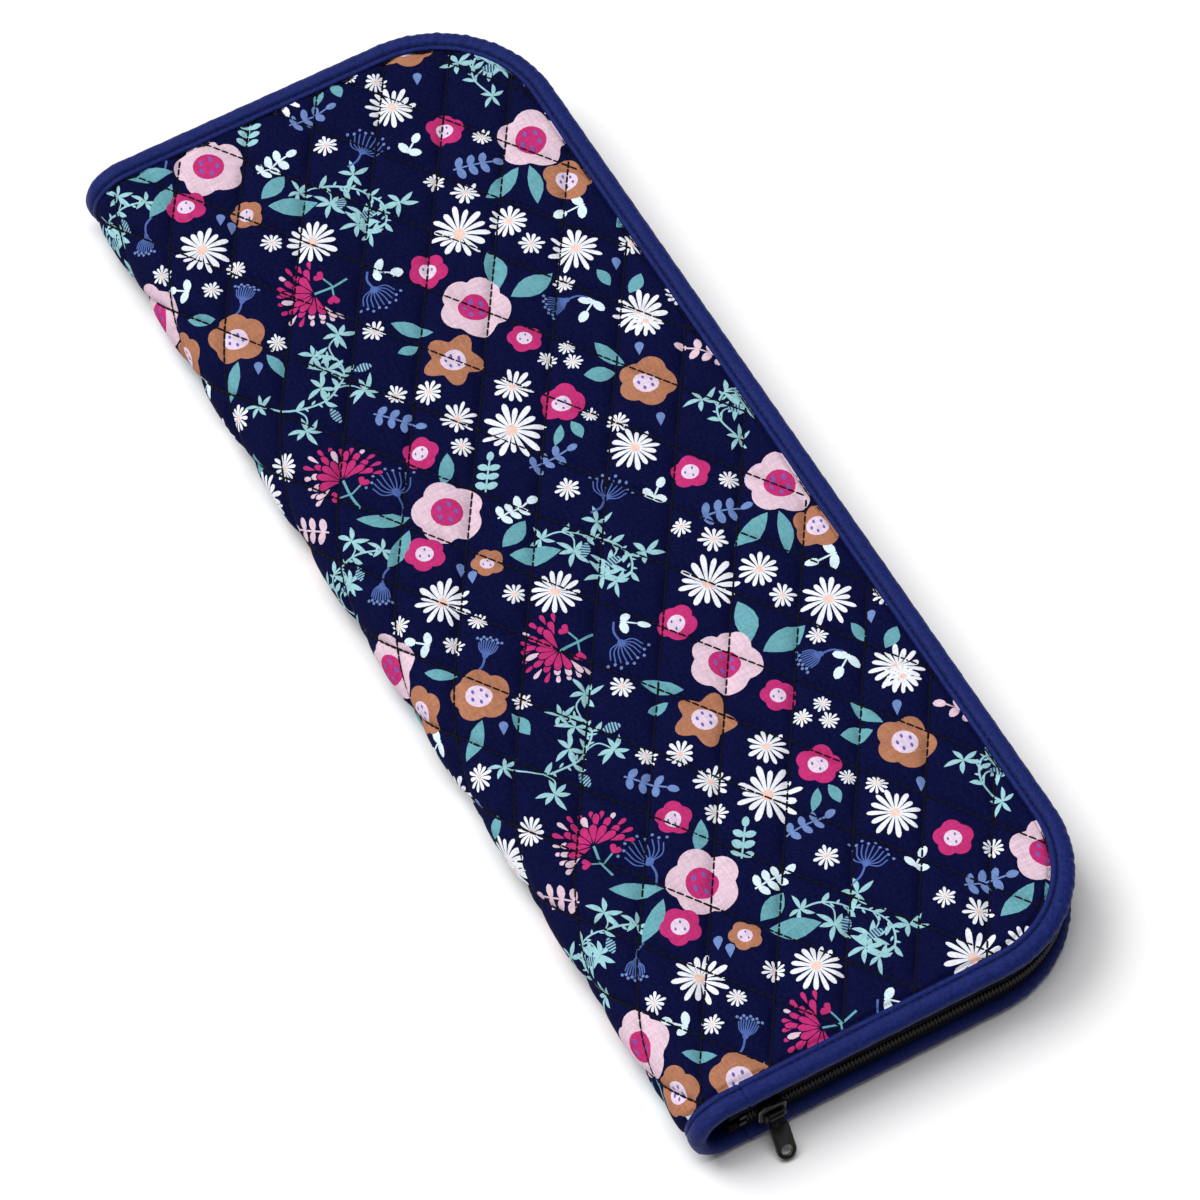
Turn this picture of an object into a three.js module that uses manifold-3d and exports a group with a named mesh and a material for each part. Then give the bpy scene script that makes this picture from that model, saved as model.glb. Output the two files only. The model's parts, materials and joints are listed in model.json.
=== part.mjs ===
// Zip-around quilted case for knitting needles, lying closed on its back cover.
// Units are millimetres, +Z is up. X runs along the case, the spine is on the
// +Y side and the long zipped opening is on the -Y side. The origin is the
// centre of the underside. Depth "w" is measured into the case from the
// outermost plane of a cover or of the spine.
import * as THREE from 'three';
import { mergeVertices } from 'three/addons/utils/BufferGeometryUtils.js';
import Module from 'manifold-3d';

const wasm = await Module();
wasm.setup();

// ---------------------------------------------------------------- dimensions
const LENGTH = 410;
const WIDTH = 156;
const HEIGHT = 28;
const CORNER_R = 44;          // outline corners on the opening side
const FOLD_R = HEIGHT / 2;    // the spine is one half round from cover to cover
const HALF_L = LENGTH / 2;
const HALF_W = WIDTH / 2;
const ARC_Y = HALF_W - FOLD_R;
const CUT = 10;               // how far cutting prisms run past the solid

// layers, as depths from the outside
const QUILT = { top: 0, edge: 1.7, bottom: 2.6 };
const BOARD = { top: 2.9, bottom: 3.9 };
const LINING = { top: 4.2, bottom: 4.7 };
const BINDING = { top: 0.6, bottom: 5.8, leg: 0.8, rim: 1.2, width: 8, round: 2 };
const INNER_TRIM = { top: 5.0, bottom: 5.5 };

const LAYER_INSET = 1.5;      // cut edges of the layers inside the binding
const PLATEAU_INSET = 8.4;    // padded field starts just inside the binding
const FOLD_GAP_DEG = 1.6;     // half the open angle between cover and spine parts
const CUT_PAST_DEG = 6;       // how far a cutter runs past the end of what it cuts
const HALF_FOLD_DEG = 45;     // angle of the fold round that stays with each cover

// zip
const TAPE = { outer: 3.0, inner: 3.6, endY: 71, root: 6.1, edge: 12.6, foldR: 7.9 };
const COIL = { outer: 1.4, inner: 2.7, low: 11.3, high: 13.0, endY: 58 };
const STOP_LENGTH = 2.4;
const STOP_GAP = 0.3;
const BOTTOM_STOP_TOP = 14.6;
const ZIP_Z = HEIGHT / 2;

const SLIDER = {
  y: 50, length: 10, height: 8.8, taper: 1.6,
  outerFace: 205.2, outerBack: 204.0, innerFace: 200.9, innerBack: 199.9,
  postLength: 2.6, postHeight: 1.3,
};
const BRIDGE = { x: 206.9, pinR: 0.7, legHalf: 0.9, legInner: 2.7, legOuter: 3.8 };
const PULL = {
  boreR: 0.8, barrelR: 1.35, barrelLength: 4.8,
  length: 16, width: 6.6, thickness: 1.2, neckWidth: 4.2, neckEnd: 3.4, neckRamp: 1,
  holeR: 1.8, holeFromTip: 3.3, tiltDeg: 35, overlap: 0.95,
};

// inside furniture
const BAND = { width: 20, halfLength: 60, x: 112, thickness: 0.8 };
const POCKET = { halfLength: 184, low: -66, high: 18, corner: 34 };
const HEM = { width: 7, bottom: 5.9, gap: 0.3 };

// smoothness of curves
const CORNER_STEPS = 12;
const FOLD_STEPS = 5;
const ROUND_STEPS = 3;
const PIN_STEPS = 16;
const ROUND_END_STEPS = 40;

// ------------------------------------------------------------------- helpers
const rad = THREE.MathUtils.degToRad;

function solidOf(geometry) {
  const bare = geometry.clone();
  bare.deleteAttribute('normal');
  bare.deleteAttribute('uv');
  const merged = mergeVertices(bare, 1e-5);
  const mesh = new wasm.Mesh({
    numProp: 3,
    vertProperties: new Float32Array(merged.attributes.position.array),
    triVerts: new Uint32Array(merged.index.array),
  });
  return new wasm.Manifold(mesh);
}

function geometryOf(solid) {
  const mesh = solid.getMesh();
  const indexed = new THREE.BufferGeometry();
  indexed.setAttribute('position', new THREE.BufferAttribute(new Float32Array(mesh.vertProperties), 3));
  indexed.setIndex(new THREE.BufferAttribute(new Uint32Array(mesh.triVerts), 1));
  return indexed;
}

function arcPoints(cx, cy, r, fromDeg, toDeg, steps) {
  const points = [];
  for (let i = 0; i <= steps; i += 1) {
    const a = rad(fromDeg + ((toDeg - fromDeg) * i) / steps);
    points.push(new THREE.Vector2(cx + r * Math.cos(a), cy + r * Math.sin(a)));
  }
  return points;
}

function prism(shape, z0, z1, round = 0) {
  const options = { depth: z1 - z0 - 2 * round, bevelEnabled: false };
  if (round > 0) {
    options.bevelEnabled = true;
    options.bevelThickness = round;
    options.bevelSize = round;
    options.bevelOffset = -round;
    options.bevelSegments = ROUND_STEPS;
  }
  const geometry = new THREE.ExtrudeGeometry(shape, options);
  geometry.translate(0, 0, z0 + round);
  return geometry;
}

// a (y, z) profile drawn out along X
function alongX(shape, x0, x1) {
  const geometry = new THREE.ExtrudeGeometry(shape, { depth: x1 - x0, bevelEnabled: false });
  const basis = new THREE.Matrix4().makeBasis(
    new THREE.Vector3(0, 1, 0), new THREE.Vector3(0, 0, 1), new THREE.Vector3(1, 0, 0));
  geometry.applyMatrix4(basis);
  geometry.translate(x0, 0, 0);
  return geometry;
}

// a (z, x) profile drawn out along Y
function alongY(shape, y0, y1) {
  const geometry = new THREE.ExtrudeGeometry(shape, { depth: y1 - y0, bevelEnabled: false });
  const basis = new THREE.Matrix4().makeBasis(
    new THREE.Vector3(0, 0, 1), new THREE.Vector3(1, 0, 0), new THREE.Vector3(0, 1, 0));
  geometry.applyMatrix4(basis);
  geometry.translate(0, y0, 0);
  return geometry;
}

function box(x0, x1, y0, y1, z0, z1) {
  const geometry = new THREE.BoxGeometry(x1 - x0, y1 - y0, z1 - z0);
  geometry.translate((x0 + x1) / 2, (y0 + y1) / 2, (z0 + z1) / 2);
  return geometry;
}

// path along the opening: near short edge, long edge, far short edge
function openingPath(inset, endY) {
  const x = HALF_L - inset;
  const y = -HALF_W + inset;
  const r = CORNER_R - inset;
  const cx = HALF_L - CORNER_R;
  const cy = -HALF_W + CORNER_R;
  return [
    new THREE.Vector2(-x, endY),
    ...arcPoints(-cx, cy, r, 180, 270, CORNER_STEPS),
    ...arcPoints(cx, cy, r, 270, 360, CORNER_STEPS),
    new THREE.Vector2(x, endY),
  ].map((p) => new THREE.Vector2(p.x, Math.max(p.y, y)));
}

function coverOutline(inset) {
  return new THREE.Shape(openingPath(inset, HALF_W + CUT));
}

function ribbonOutline(outer, inner, endY) {
  return new THREE.Shape([...openingPath(outer, endY), ...openingPath(inner, endY).reverse()]);
}

// a cover layer in (y, z): flat, then up to half way round the fold;
// a cutter runs a few degrees past the end of what it cuts
function coverProfile(w0, w1, side, pastDeg = 0) {
  const stop = -90 + HALF_FOLD_DEG - FOLD_GAP_DEG + pastDeg;
  const points = [
    new THREE.Vector2(-HALF_W - CUT, w1),
    new THREE.Vector2(-HALF_W - CUT, w0),
    ...arcPoints(ARC_Y, FOLD_R, FOLD_R - w0, -90, stop, FOLD_STEPS),
    ...arcPoints(ARC_Y, FOLD_R, FOLD_R - w1, stop, -90, FOLD_STEPS),
  ];
  return new THREE.Shape(points.map((p) => new THREE.Vector2(p.x, side > 0 ? p.y : HEIGHT - p.y)));
}

// a spine layer in (y, z): the middle half of the half round
function spineProfile(w0, w1, pastDeg = 0) {
  const reach = 90 - HALF_FOLD_DEG - FOLD_GAP_DEG + pastDeg;
  return new THREE.Shape([
    ...arcPoints(ARC_Y, FOLD_R, FOLD_R - w0, -reach, reach, 2 * FOLD_STEPS),
    ...arcPoints(ARC_Y, FOLD_R, FOLD_R - w1, reach, -reach, 2 * FOLD_STEPS),
  ]);
}

function coverLayer(w0, w1, inset, side, pastDeg = 0) {
  const profile = coverProfile(w0, w1, side, pastDeg);
  const sheet = solidOf(alongX(profile, -HALF_L - CUT, HALF_L + CUT));
  const outline = solidOf(prism(coverOutline(inset), -CUT, HEIGHT + CUT));
  return sheet.intersect(outline);
}

function spineLayer(w0, w1, inset, pastDeg = 0) {
  return solidOf(alongX(spineProfile(w0, w1, pastDeg), -HALF_L + inset, HALF_L - inset));
}

const caseGroup = new THREE.Group();
caseGroup.name = 'quilted_needle_case';

function addPart(name, solid, look) {
  const geometry = solid.isBufferGeometry ? solid : geometryOf(solid);
  geometry.computeVertexNormals();
  const material = new THREE.MeshStandardMaterial(look);
  const mesh = new THREE.Mesh(geometry, material);
  mesh.name = name;
  caseGroup.add(mesh);
}

// ----------------------------------------------------------------- materials
const PRINT = { color: 0x1b1f56, roughness: 0.85, metalness: 0 };
const NAVY_TAPE = { color: 0x27377c, roughness: 0.5, metalness: 0 };
const LINING_CLOTH = { color: 0x20264f, roughness: 0.8, metalness: 0 };
const STIFFENER = { color: 0xb9b4a8, roughness: 0.9, metalness: 0 };
const BLACK_CLOTH = { color: 0x101014, roughness: 0.8, metalness: 0 };
const BLACK_NYLON = { color: 0x0c0c0e, roughness: 0.4, metalness: 0 };
const BLACK_ENAMEL = { color: 0x121214, roughness: 0.35, metalness: 0.6 };
const GUNMETAL = { color: 0x3b3b40, roughness: 0.3, metalness: 0.9 };

// --------------------------------------------------------- cloth and binding
function quiltedCover(side) {
  const sheet = coverLayer(QUILT.edge, QUILT.bottom, LAYER_INSET, side);
  const field = coverLayer(QUILT.top, QUILT.bottom, PLATEAU_INSET, side);
  return sheet.add(field);
}

function quiltedSpine() {
  const sheet = spineLayer(QUILT.edge, QUILT.bottom, LAYER_INSET);
  const field = spineLayer(QUILT.top, QUILT.bottom, PLATEAU_INSET);
  return sheet.add(field);
}

// folded strip in a C section round the three cut sides of a cover
function coverBinding(side) {
  const z0 = side > 0 ? BINDING.top : HEIGHT / 2;
  const z1 = side > 0 ? HEIGHT / 2 : HEIGHT - BINDING.top;
  const rounded = solidOf(prism(coverOutline(0), z0, z1, BINDING.round));
  const whole = coverLayer(BINDING.top, BINDING.bottom, 0, side).intersect(rounded);
  const middle = solidOf(prism(coverOutline(BINDING.width), -CUT, HEIGHT + CUT));
  const groove = coverLayer(
    BINDING.top + BINDING.leg, BINDING.bottom - BINDING.leg, BINDING.rim, side, CUT_PAST_DEG);
  return whole.subtract(middle).subtract(groove);
}

// the same strip where it crosses one end of the spine
function spineBinding(end) {
  const whole = spineLayer(BINDING.top, BINDING.bottom, 0);
  const groove = spineLayer(
    BINDING.top + BINDING.leg, BINDING.bottom - BINDING.leg, BINDING.rim, CUT_PAST_DEG);
  const inner = HALF_L - BINDING.width;
  const outer = HALF_L + CUT;
  const window = end < 0
    ? box(-outer, -inner, 0, HALF_W + CUT, -CUT, HEIGHT + CUT)
    : box(inner, outer, 0, HALF_W + CUT, -CUT, HEIGHT + CUT);
  return whole.subtract(groove).intersect(solidOf(window));
}

function board(side) {
  const shape = openingPath(PLATEAU_INSET, ARC_Y);
  const z0 = side > 0 ? BOARD.top : HEIGHT - BOARD.bottom;
  return prism(new THREE.Shape(shape), z0, z0 + BOARD.bottom - BOARD.top);
}

for (const [cover, side] of [['back', 1], ['front', -1]]) {
  addPart(`${cover}_quilt`, quiltedCover(side), PRINT);
  addPart(`${cover}_board`, board(side), STIFFENER);
  addPart(`${cover}_lining`, coverLayer(LINING.top, LINING.bottom, LAYER_INSET, side), LINING_CLOTH);
  addPart(`${cover}_binding`, coverBinding(side), NAVY_TAPE);
}
addPart('spine_quilt', quiltedSpine(), PRINT);
addPart('spine_lining', spineLayer(LINING.top, LINING.bottom, LAYER_INSET), LINING_CLOTH);
addPart('spine_binding_near', spineBinding(-1), NAVY_TAPE);
addPart('spine_binding_far', spineBinding(1), NAVY_TAPE);

// ----------------------------------------------------------------------- zip
function zipStrip(outer, inner, endY, z0, z1) {
  return prism(ribbonOutline(outer, inner, endY), z0, z1);
}

// the tape's ends are cut round to follow the inside of the spine
function zipTape(z0, z1) {
  const strip = solidOf(zipStrip(TAPE.outer, TAPE.inner, TAPE.endY, z0, z1));
  const straight = solidOf(box(-HALF_L, HALF_L, -HALF_W, ARC_Y, 0, HEIGHT));
  const round = new THREE.Shape(
    arcPoints(ARC_Y, FOLD_R, TAPE.foldR, 0, 360 - 360 / ROUND_END_STEPS, ROUND_END_STEPS - 1));
  return strip.intersect(straight.add(solidOf(alongX(round, -HALF_L, HALF_L))));
}

addPart('zip_tape_lower', zipTape(TAPE.root, TAPE.edge), BLACK_CLOTH);
addPart('zip_tape_upper', zipTape(HEIGHT - TAPE.edge, HEIGHT - TAPE.root), BLACK_CLOTH);
addPart('zip_coil_lower', zipStrip(COIL.outer, COIL.inner, COIL.endY, COIL.low, COIL.high), BLACK_NYLON);
addPart('zip_coil_upper',
  zipStrip(COIL.outer, COIL.inner, COIL.endY, HEIGHT - COIL.high, HEIGHT - COIL.low), BLACK_NYLON);

function zipStop(end, z0, z1) {
  const y0 = COIL.endY + STOP_GAP;
  const x0 = end < 0 ? -HALF_L + COIL.outer : HALF_L - COIL.inner;
  return box(x0, x0 + COIL.inner - COIL.outer, y0, y0 + STOP_LENGTH, z0, z1);
}

addPart('zip_top_stop_lower', zipStop(-1, COIL.low, COIL.high), BLACK_ENAMEL);
addPart('zip_top_stop_upper', zipStop(-1, HEIGHT - COIL.high, HEIGHT - COIL.low), BLACK_ENAMEL);
addPart('zip_bottom_stop', zipStop(1, COIL.low, BOTTOM_STOP_TOP), BLACK_ENAMEL);

// wedge outline of the slider's plates in (y, z), wide at the throat end
function sliderPlate() {
  const half = SLIDER.length / 2;
  const wide = SLIDER.height / 2;
  const slim = wide - SLIDER.taper;
  return new THREE.Shape([
    new THREE.Vector2(SLIDER.y - half, ZIP_Z - slim),
    new THREE.Vector2(SLIDER.y, ZIP_Z - slim),
    new THREE.Vector2(SLIDER.y + half - SLIDER.taper, ZIP_Z - wide),
    new THREE.Vector2(SLIDER.y + half, ZIP_Z - wide + SLIDER.taper),
    new THREE.Vector2(SLIDER.y + half, ZIP_Z + wide - SLIDER.taper),
    new THREE.Vector2(SLIDER.y + half - SLIDER.taper, ZIP_Z + wide),
    new THREE.Vector2(SLIDER.y, ZIP_Z + slim),
    new THREE.Vector2(SLIDER.y - half, ZIP_Z + slim),
  ]);
}

function sliderBody() {
  const outer = solidOf(alongX(sliderPlate(), -SLIDER.outerFace, -SLIDER.outerBack));
  const inner = solidOf(alongX(sliderPlate(), -SLIDER.innerFace, -SLIDER.innerBack));
  const postEnd = SLIDER.y + SLIDER.length / 2;
  const half = SLIDER.postHeight / 2;
  const post = solidOf(box(-SLIDER.outerBack - half, -SLIDER.innerFace + half,
    postEnd - SLIDER.postLength, postEnd, ZIP_Z - half, ZIP_Z + half));
  let body = outer.add(inner).add(post);
  for (const dir of [-1, 1]) {
    const a = SLIDER.y + dir * BRIDGE.legInner;
    const b = SLIDER.y + dir * BRIDGE.legOuter;
    const leg = box(-BRIDGE.x - BRIDGE.legHalf, -SLIDER.outerFace + half,
      Math.min(a, b), Math.max(a, b), ZIP_Z - BRIDGE.legHalf, ZIP_Z + BRIDGE.legHalf);
    body = body.add(solidOf(leg));
  }
  const pinShape = new THREE.Shape(
    arcPoints(ZIP_Z, -BRIDGE.x, BRIDGE.pinR, 0, 360 - 360 / PIN_STEPS, PIN_STEPS - 1));
  const pinHalf = BRIDGE.legInner + half / 2;
  return body.add(solidOf(alongY(pinShape, SLIDER.y - pinHalf, SLIDER.y + pinHalf)));
}

// flat tab with a rolled eye, drawn hanging straight down from the pin's axis
function pullTab() {
  const ring = new THREE.Shape(
    arcPoints(0, 0, PULL.barrelR, 0, 360 - 360 / PIN_STEPS, PIN_STEPS - 1));
  ring.holes.push(new THREE.Path(
    arcPoints(0, 0, PULL.boreR, 0, 360 - 360 / PIN_STEPS, PIN_STEPS - 1)));
  const barrel = solidOf(alongY(ring, -PULL.barrelLength / 2, PULL.barrelLength / 2));
  const half = PULL.width / 2;
  const neck = PULL.neckWidth / 2;
  const tipZ = -PULL.length + half;
  const outline = new THREE.Shape([
    new THREE.Vector2(-neck, -PULL.overlap),
    new THREE.Vector2(-neck, -PULL.neckEnd + PULL.neckRamp),
    new THREE.Vector2(-half, -PULL.neckEnd),
    ...arcPoints(0, tipZ, half, 180, 360, CORNER_STEPS),
    new THREE.Vector2(half, -PULL.neckEnd),
    new THREE.Vector2(neck, -PULL.neckEnd + PULL.neckRamp),
    new THREE.Vector2(neck, -PULL.overlap),
  ]);
  const holeZ = -PULL.length + PULL.holeFromTip;
  outline.holes.push(new THREE.Path(
    arcPoints(0, holeZ, PULL.holeR, 0, 360 - 360 / PIN_STEPS, PIN_STEPS - 1)));
  const tab = solidOf(alongX(outline, -PULL.thickness / 2, PULL.thickness / 2));
  const geometry = geometryOf(barrel.add(tab));
  geometry.rotateY(rad(PULL.tiltDeg));
  geometry.translate(-BRIDGE.x, SLIDER.y, ZIP_Z);
  return geometry;
}

addPart('zip_slider', sliderBody(), BLACK_ENAMEL);
addPart('zip_pull', pullTab(), GUNMETAL);

// ---------------------------------------------------------- inside furniture
function elasticBand(x) {
  const z0 = INNER_TRIM.top;
  return box(x - BAND.width / 2, x + BAND.width / 2,
    -BAND.halfLength, BAND.halfLength, z0, z0 + BAND.thickness);
}

addPart('needle_band_near', elasticBand(-BAND.x), BLACK_CLOTH);
addPart('needle_band_far', elasticBand(BAND.x), BLACK_CLOTH);

function pocketPanel() {
  const cx = POCKET.halfLength - POCKET.corner;
  const cy = POCKET.low + POCKET.corner;
  const outline = new THREE.Shape([
    new THREE.Vector2(-POCKET.halfLength, POCKET.high),
    ...arcPoints(-cx, cy, POCKET.corner, 180, 270, CORNER_STEPS),
    ...arcPoints(cx, cy, POCKET.corner, 270, 360, CORNER_STEPS),
    new THREE.Vector2(POCKET.halfLength, POCKET.high),
  ]);
  return prism(outline, HEIGHT - INNER_TRIM.bottom, HEIGHT - INNER_TRIM.top);
}

function pocketHem() {
  const y0 = POCKET.high + HEM.gap;
  return box(-POCKET.halfLength, POCKET.halfLength, y0, y0 + HEM.width,
    HEIGHT - HEM.bottom, HEIGHT - INNER_TRIM.top);
}

addPart('pocket_panel', pocketPanel(), LINING_CLOTH);
addPart('pocket_hem', pocketHem(), NAVY_TAPE);

export default caseGroup;
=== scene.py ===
"""Looks of a zip-around quilted needle case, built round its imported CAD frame.

Sewn pieces are laid out on the flat cloth first. There x runs along the case and
c across the cloth, from the middle of the spine: positive over the front cover,
negative over the back cover. on_case() wraps that plane round the case.
Layout numbers are millimetres, and meshes are metres."""

import json
import math

import bpy
import numpy as np
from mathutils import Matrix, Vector
from mathutils.geometry import delaunay_2d_cdt


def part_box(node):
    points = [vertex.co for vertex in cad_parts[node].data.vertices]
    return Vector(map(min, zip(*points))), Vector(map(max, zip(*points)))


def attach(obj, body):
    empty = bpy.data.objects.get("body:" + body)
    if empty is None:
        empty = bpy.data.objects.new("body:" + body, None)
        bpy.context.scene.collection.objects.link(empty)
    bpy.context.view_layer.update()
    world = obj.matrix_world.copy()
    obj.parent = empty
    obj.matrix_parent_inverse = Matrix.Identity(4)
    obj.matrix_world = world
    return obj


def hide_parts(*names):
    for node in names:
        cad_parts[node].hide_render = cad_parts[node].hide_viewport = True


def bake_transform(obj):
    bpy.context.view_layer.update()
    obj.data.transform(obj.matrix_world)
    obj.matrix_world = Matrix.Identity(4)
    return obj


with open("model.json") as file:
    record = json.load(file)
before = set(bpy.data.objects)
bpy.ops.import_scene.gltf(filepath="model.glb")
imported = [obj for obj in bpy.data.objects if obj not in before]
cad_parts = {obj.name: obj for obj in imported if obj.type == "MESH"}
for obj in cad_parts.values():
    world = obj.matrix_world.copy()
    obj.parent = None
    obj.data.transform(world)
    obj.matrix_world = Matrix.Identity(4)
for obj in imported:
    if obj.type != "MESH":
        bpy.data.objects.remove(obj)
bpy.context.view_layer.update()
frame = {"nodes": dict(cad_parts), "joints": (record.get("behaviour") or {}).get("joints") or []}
scene = bpy.context.scene

MM = 1000.0                               # millimetres in a metre
UV_MM = 100.0                             # millimetres in one unit of the cloth's UV map
TAU = 2 * math.pi


def box_mm(node):
    """Lowest and highest corner of a CAD node, in millimetres."""
    low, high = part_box(node)
    return low * MM, high * MM


# ------------------------------------------------------------------ dimensions
binding_low, binding_high = box_mm("front_binding")
HEIGHT = box_mm("front_quilt")[1].z
HALF_L = binding_high.x
FOLD_R = HEIGHT / 2                       # the spine is one half round
ARC_Y = box_mm("spine_quilt")[1].y - FOLD_R
ARC_C = FOLD_R * math.pi / 2              # cloth from the spine's middle to a cover
EDGE_C = ARC_C + ARC_Y - binding_low.y    # cloth from the spine's middle to the edge
CORNER_R = 44

# quilting: two families of straight lines, each as a unit normal, a shift, a pitch
QUILT_LINES = (((0.552, -0.834), 12.5, 21.55), ((-0.581, -0.814), 4.9, 21.6))
QUILT_DEPTH = 2.2                         # how far the stitching pulls the cloth in
PILLOW_RISE = 2.1                         # how far beside a line the cloth has mostly risen
PUCKER = 0.11                             # height of the small folds along the stitching
PUCKER_PITCH = 3.7
PUCKER_REACH = 2.4
UNEVENNESS = 0.10                         # slow waves of the padding
QUILT_STITCH_PITCH = 3.05
QUILT_STITCH = 3.0                        # length of thread that shows
# the black quilting thread is drawn wider than sewing thread, so that it also stands for painted shade in
# the valley beside it
QUILT_THREAD_AND_SHADE_R = 0.42
CLOTH_INSET = 5.0                         # the cloth's cut edge, inside the binding
CLOTH_EDGE_DEPTH = 1.8
CLOTH_FLAT_INSET = 6.4                    # outside this the padding is pressed flat
SEAM_INSET = 8.1                          # the cloth dips in beside the binding
SEAM_DIP = 0.75
SEAM_HALF_WIDTH = 0.8
# depth of the dark stitch row beside the binding, a seam that also stands in for a painted shadow line
SEAM_AND_SHADOW_THREAD_DEPTH = 2.1
LINING_INSET = 6.0
LINING_DEPTH = 4.4
BINDING_WIDTH = 7.8
BINDING_STITCH_INSET = 5.7
BINDING_THREAD_DEPTH = 1.4
EDGE_STITCH_PITCH = 2.9
EDGE_STITCH = 2.85
EDGE_THREAD_R = 0.27


# ------------------------------------------------------- from cloth to the case
def unit(vectors):
    """The same directions, each of length one."""
    return vectors / np.linalg.norm(vectors, axis=-1, keepdims=True)


def sideways(vectors):
    """Flat vectors turned a quarter turn to the left."""
    return np.stack([-vectors[..., 1], vectors[..., 0]], -1)


def on_case(x, c, depth):
    """Point at cloth position (x, c), at that depth below the outermost plane."""
    x, c, depth = np.broadcast_arrays(*(np.asarray(v, float) for v in (x, c, depth)))
    reach = np.abs(c)
    turn = np.minimum(reach / FOLD_R, math.pi / 2)
    past = np.maximum(reach - ARC_C, 0)
    r = FOLD_R - depth
    y = ARC_Y + r * np.cos(turn) - past
    z = FOLD_R + np.sign(c) * r * np.sin(turn)
    return np.stack([x, y, z], -1) / MM


def inset_of(x, c):
    """Distance inward from the outline of the unfolded case."""
    qx = np.abs(x) - (HALF_L - CORNER_R)
    qc = np.abs(c) - (EDGE_C - CORNER_R)
    outside = np.hypot(np.maximum(qx, 0), np.maximum(qc, 0))
    return CORNER_R - outside - np.minimum(np.maximum(qx, qc), 0)


def line_places(x, c):
    """Signed places across both quilting families, in millimetres."""
    return [n[0] * x + n[1] * c + shift for n, shift, _ in QUILT_LINES]


def off_line(place, pitch):
    """Distance to the nearest of the lines at that pitch."""
    return np.abs(place - pitch * np.round(place / pitch))


def cloth_depth(x, c):
    """Depth of the quilted cloth: pillows, puckers along the stitching, flat edge."""
    x, c = np.broadcast_arrays(np.asarray(x, float), np.asarray(c, float))
    places = line_places(x, c)
    puff = np.ones_like(x)
    pucker = np.zeros_like(x)
    for k in (0, 1):
        d = off_line(places[k], QUILT_LINES[k][2])
        round_d = np.sqrt(d * d + 0.25) - 0.5
        puff = puff * (1 - np.exp(-round_d / PILLOW_RISE))
        along = places[1 - k]
        wave = np.sin(TAU * along / PUCKER_PITCH + 2.1 * np.sin(along / 9.0 + 0.05 * x))
        strength = 0.6 + 0.4 * np.sin(along / 6.1 + places[k] * 0.21)
        pucker += PUCKER * wave * strength * np.exp(-d / PUCKER_REACH) * (1 - np.exp(-d / 0.5))
    slow = UNEVENNESS * (1 + np.sin(x / 23.0 + 0.6 * np.sin(c / 17.0)) * np.cos(c / 19.0 + 1))
    depth = QUILT_DEPTH * (1 - puff) + pucker + slow
    inset = inset_of(x, c)
    edge = np.clip(np.exp(-(inset - CLOTH_FLAT_INSET) / 2.0), 0, 1)
    groove = SEAM_DIP * np.exp(-((inset - SEAM_INSET) / SEAM_HALF_WIDTH) ** 2)
    depth = depth + (CLOTH_EDGE_DEPTH - depth) * edge + groove
    return np.maximum(depth, 0.02)


def normals_on_case(x, c, depth_of, step=0.06):
    """Outward unit normals of the surface on_case(x, c, depth_of(x, c))."""
    def at(x, c):
        return on_case(x, c, depth_of(x, c))

    along = at(x + step, c) - at(x - step, c)
    across = at(x, c + step) - at(x, c - step)
    n = np.cross(across, along)
    return unit(n)


OUTLINE_STRAIGHT = EDGE_C - CORNER_R
OUTLINE_ARC = CORNER_R * math.pi / 2
OUTLINE_LONG = 2 * (HALF_L - CORNER_R)
OUTLINE_LENGTH = 2 * OUTLINE_STRAIGHT + 2 * OUTLINE_ARC + OUTLINE_LONG


def outline(s):
    """Point (x, c) and inward normal at distance s along the edge of one cover.

    s starts at the middle of the spine at the end with the zip pull. The point is
    on a circle of the corner's radius, which slides along the straight stretches."""
    s = np.asarray(s, float)
    marks = np.cumsum([0, OUTLINE_STRAIGHT, OUTLINE_ARC, OUTLINE_LONG, OUTLINE_ARC])
    near_angle = math.pi - np.clip(s - marks[1], 0, OUTLINE_ARC) / CORNER_R
    far_angle = math.pi / 2 - np.clip(s - marks[3], 0, OUTLINE_ARC) / CORNER_R
    near = s < marks[2] + OUTLINE_LONG / 2
    angle = np.where(near, near_angle, far_angle)
    middle_x = np.where(near, -1, 1) * (HALF_L - CORNER_R) + np.clip(s - marks[2], 0, OUTLINE_LONG) * near
    middle_x = middle_x - np.clip(marks[3] - s, 0, OUTLINE_LONG) * ~near
    start = np.clip(OUTLINE_STRAIGHT - s, 0, OUTLINE_STRAIGHT)
    end = np.clip(s - marks[4], 0, OUTLINE_STRAIGHT)
    middle_c = EDGE_C - CORNER_R - start - end
    x = middle_x + CORNER_R * np.cos(angle)
    c = middle_c + CORNER_R * np.sin(angle)
    return x, c, -np.cos(angle), -np.sin(angle)


def inward(s, inset):
    """Cloth point (x, c) at outline distance s, that far in from the edge."""
    x, c, nx, nc = outline(s)
    return x + nx * inset, c + nc * inset


def at_edge(s, inset, depth, side):
    """Point of the case at outline distance s, inset from the edge, on one side."""
    x, c = inward(s, inset)
    return on_case(x, side * c, depth)


def at_wall(s, inset, z):
    """Point of the upright wall at outline distance s, inset from the edge, at height z."""
    x, c = inward(s, inset)
    return np.stack([x, ARC_Y + ARC_C - c, np.full_like(x, z)], -1) / MM


def corner_share(s):
    """1 in the middle of an outline corner, falling to 0 on the straights."""
    middle1 = OUTLINE_STRAIGHT + OUTLINE_ARC / 2
    middle2 = OUTLINE_LENGTH - middle1
    near = np.minimum(np.abs(s - middle1), np.abs(s - middle2))
    return np.clip(1.25 - near / (OUTLINE_ARC * 0.55), 0, 1)


# ------------------------------------------------------------------- mesh tools
def linked(name, data):
    """New object in the scene with that mesh, lamp or camera."""
    made = bpy.data.objects.new(name, data)
    scene.collection.objects.link(made)
    return made


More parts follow.
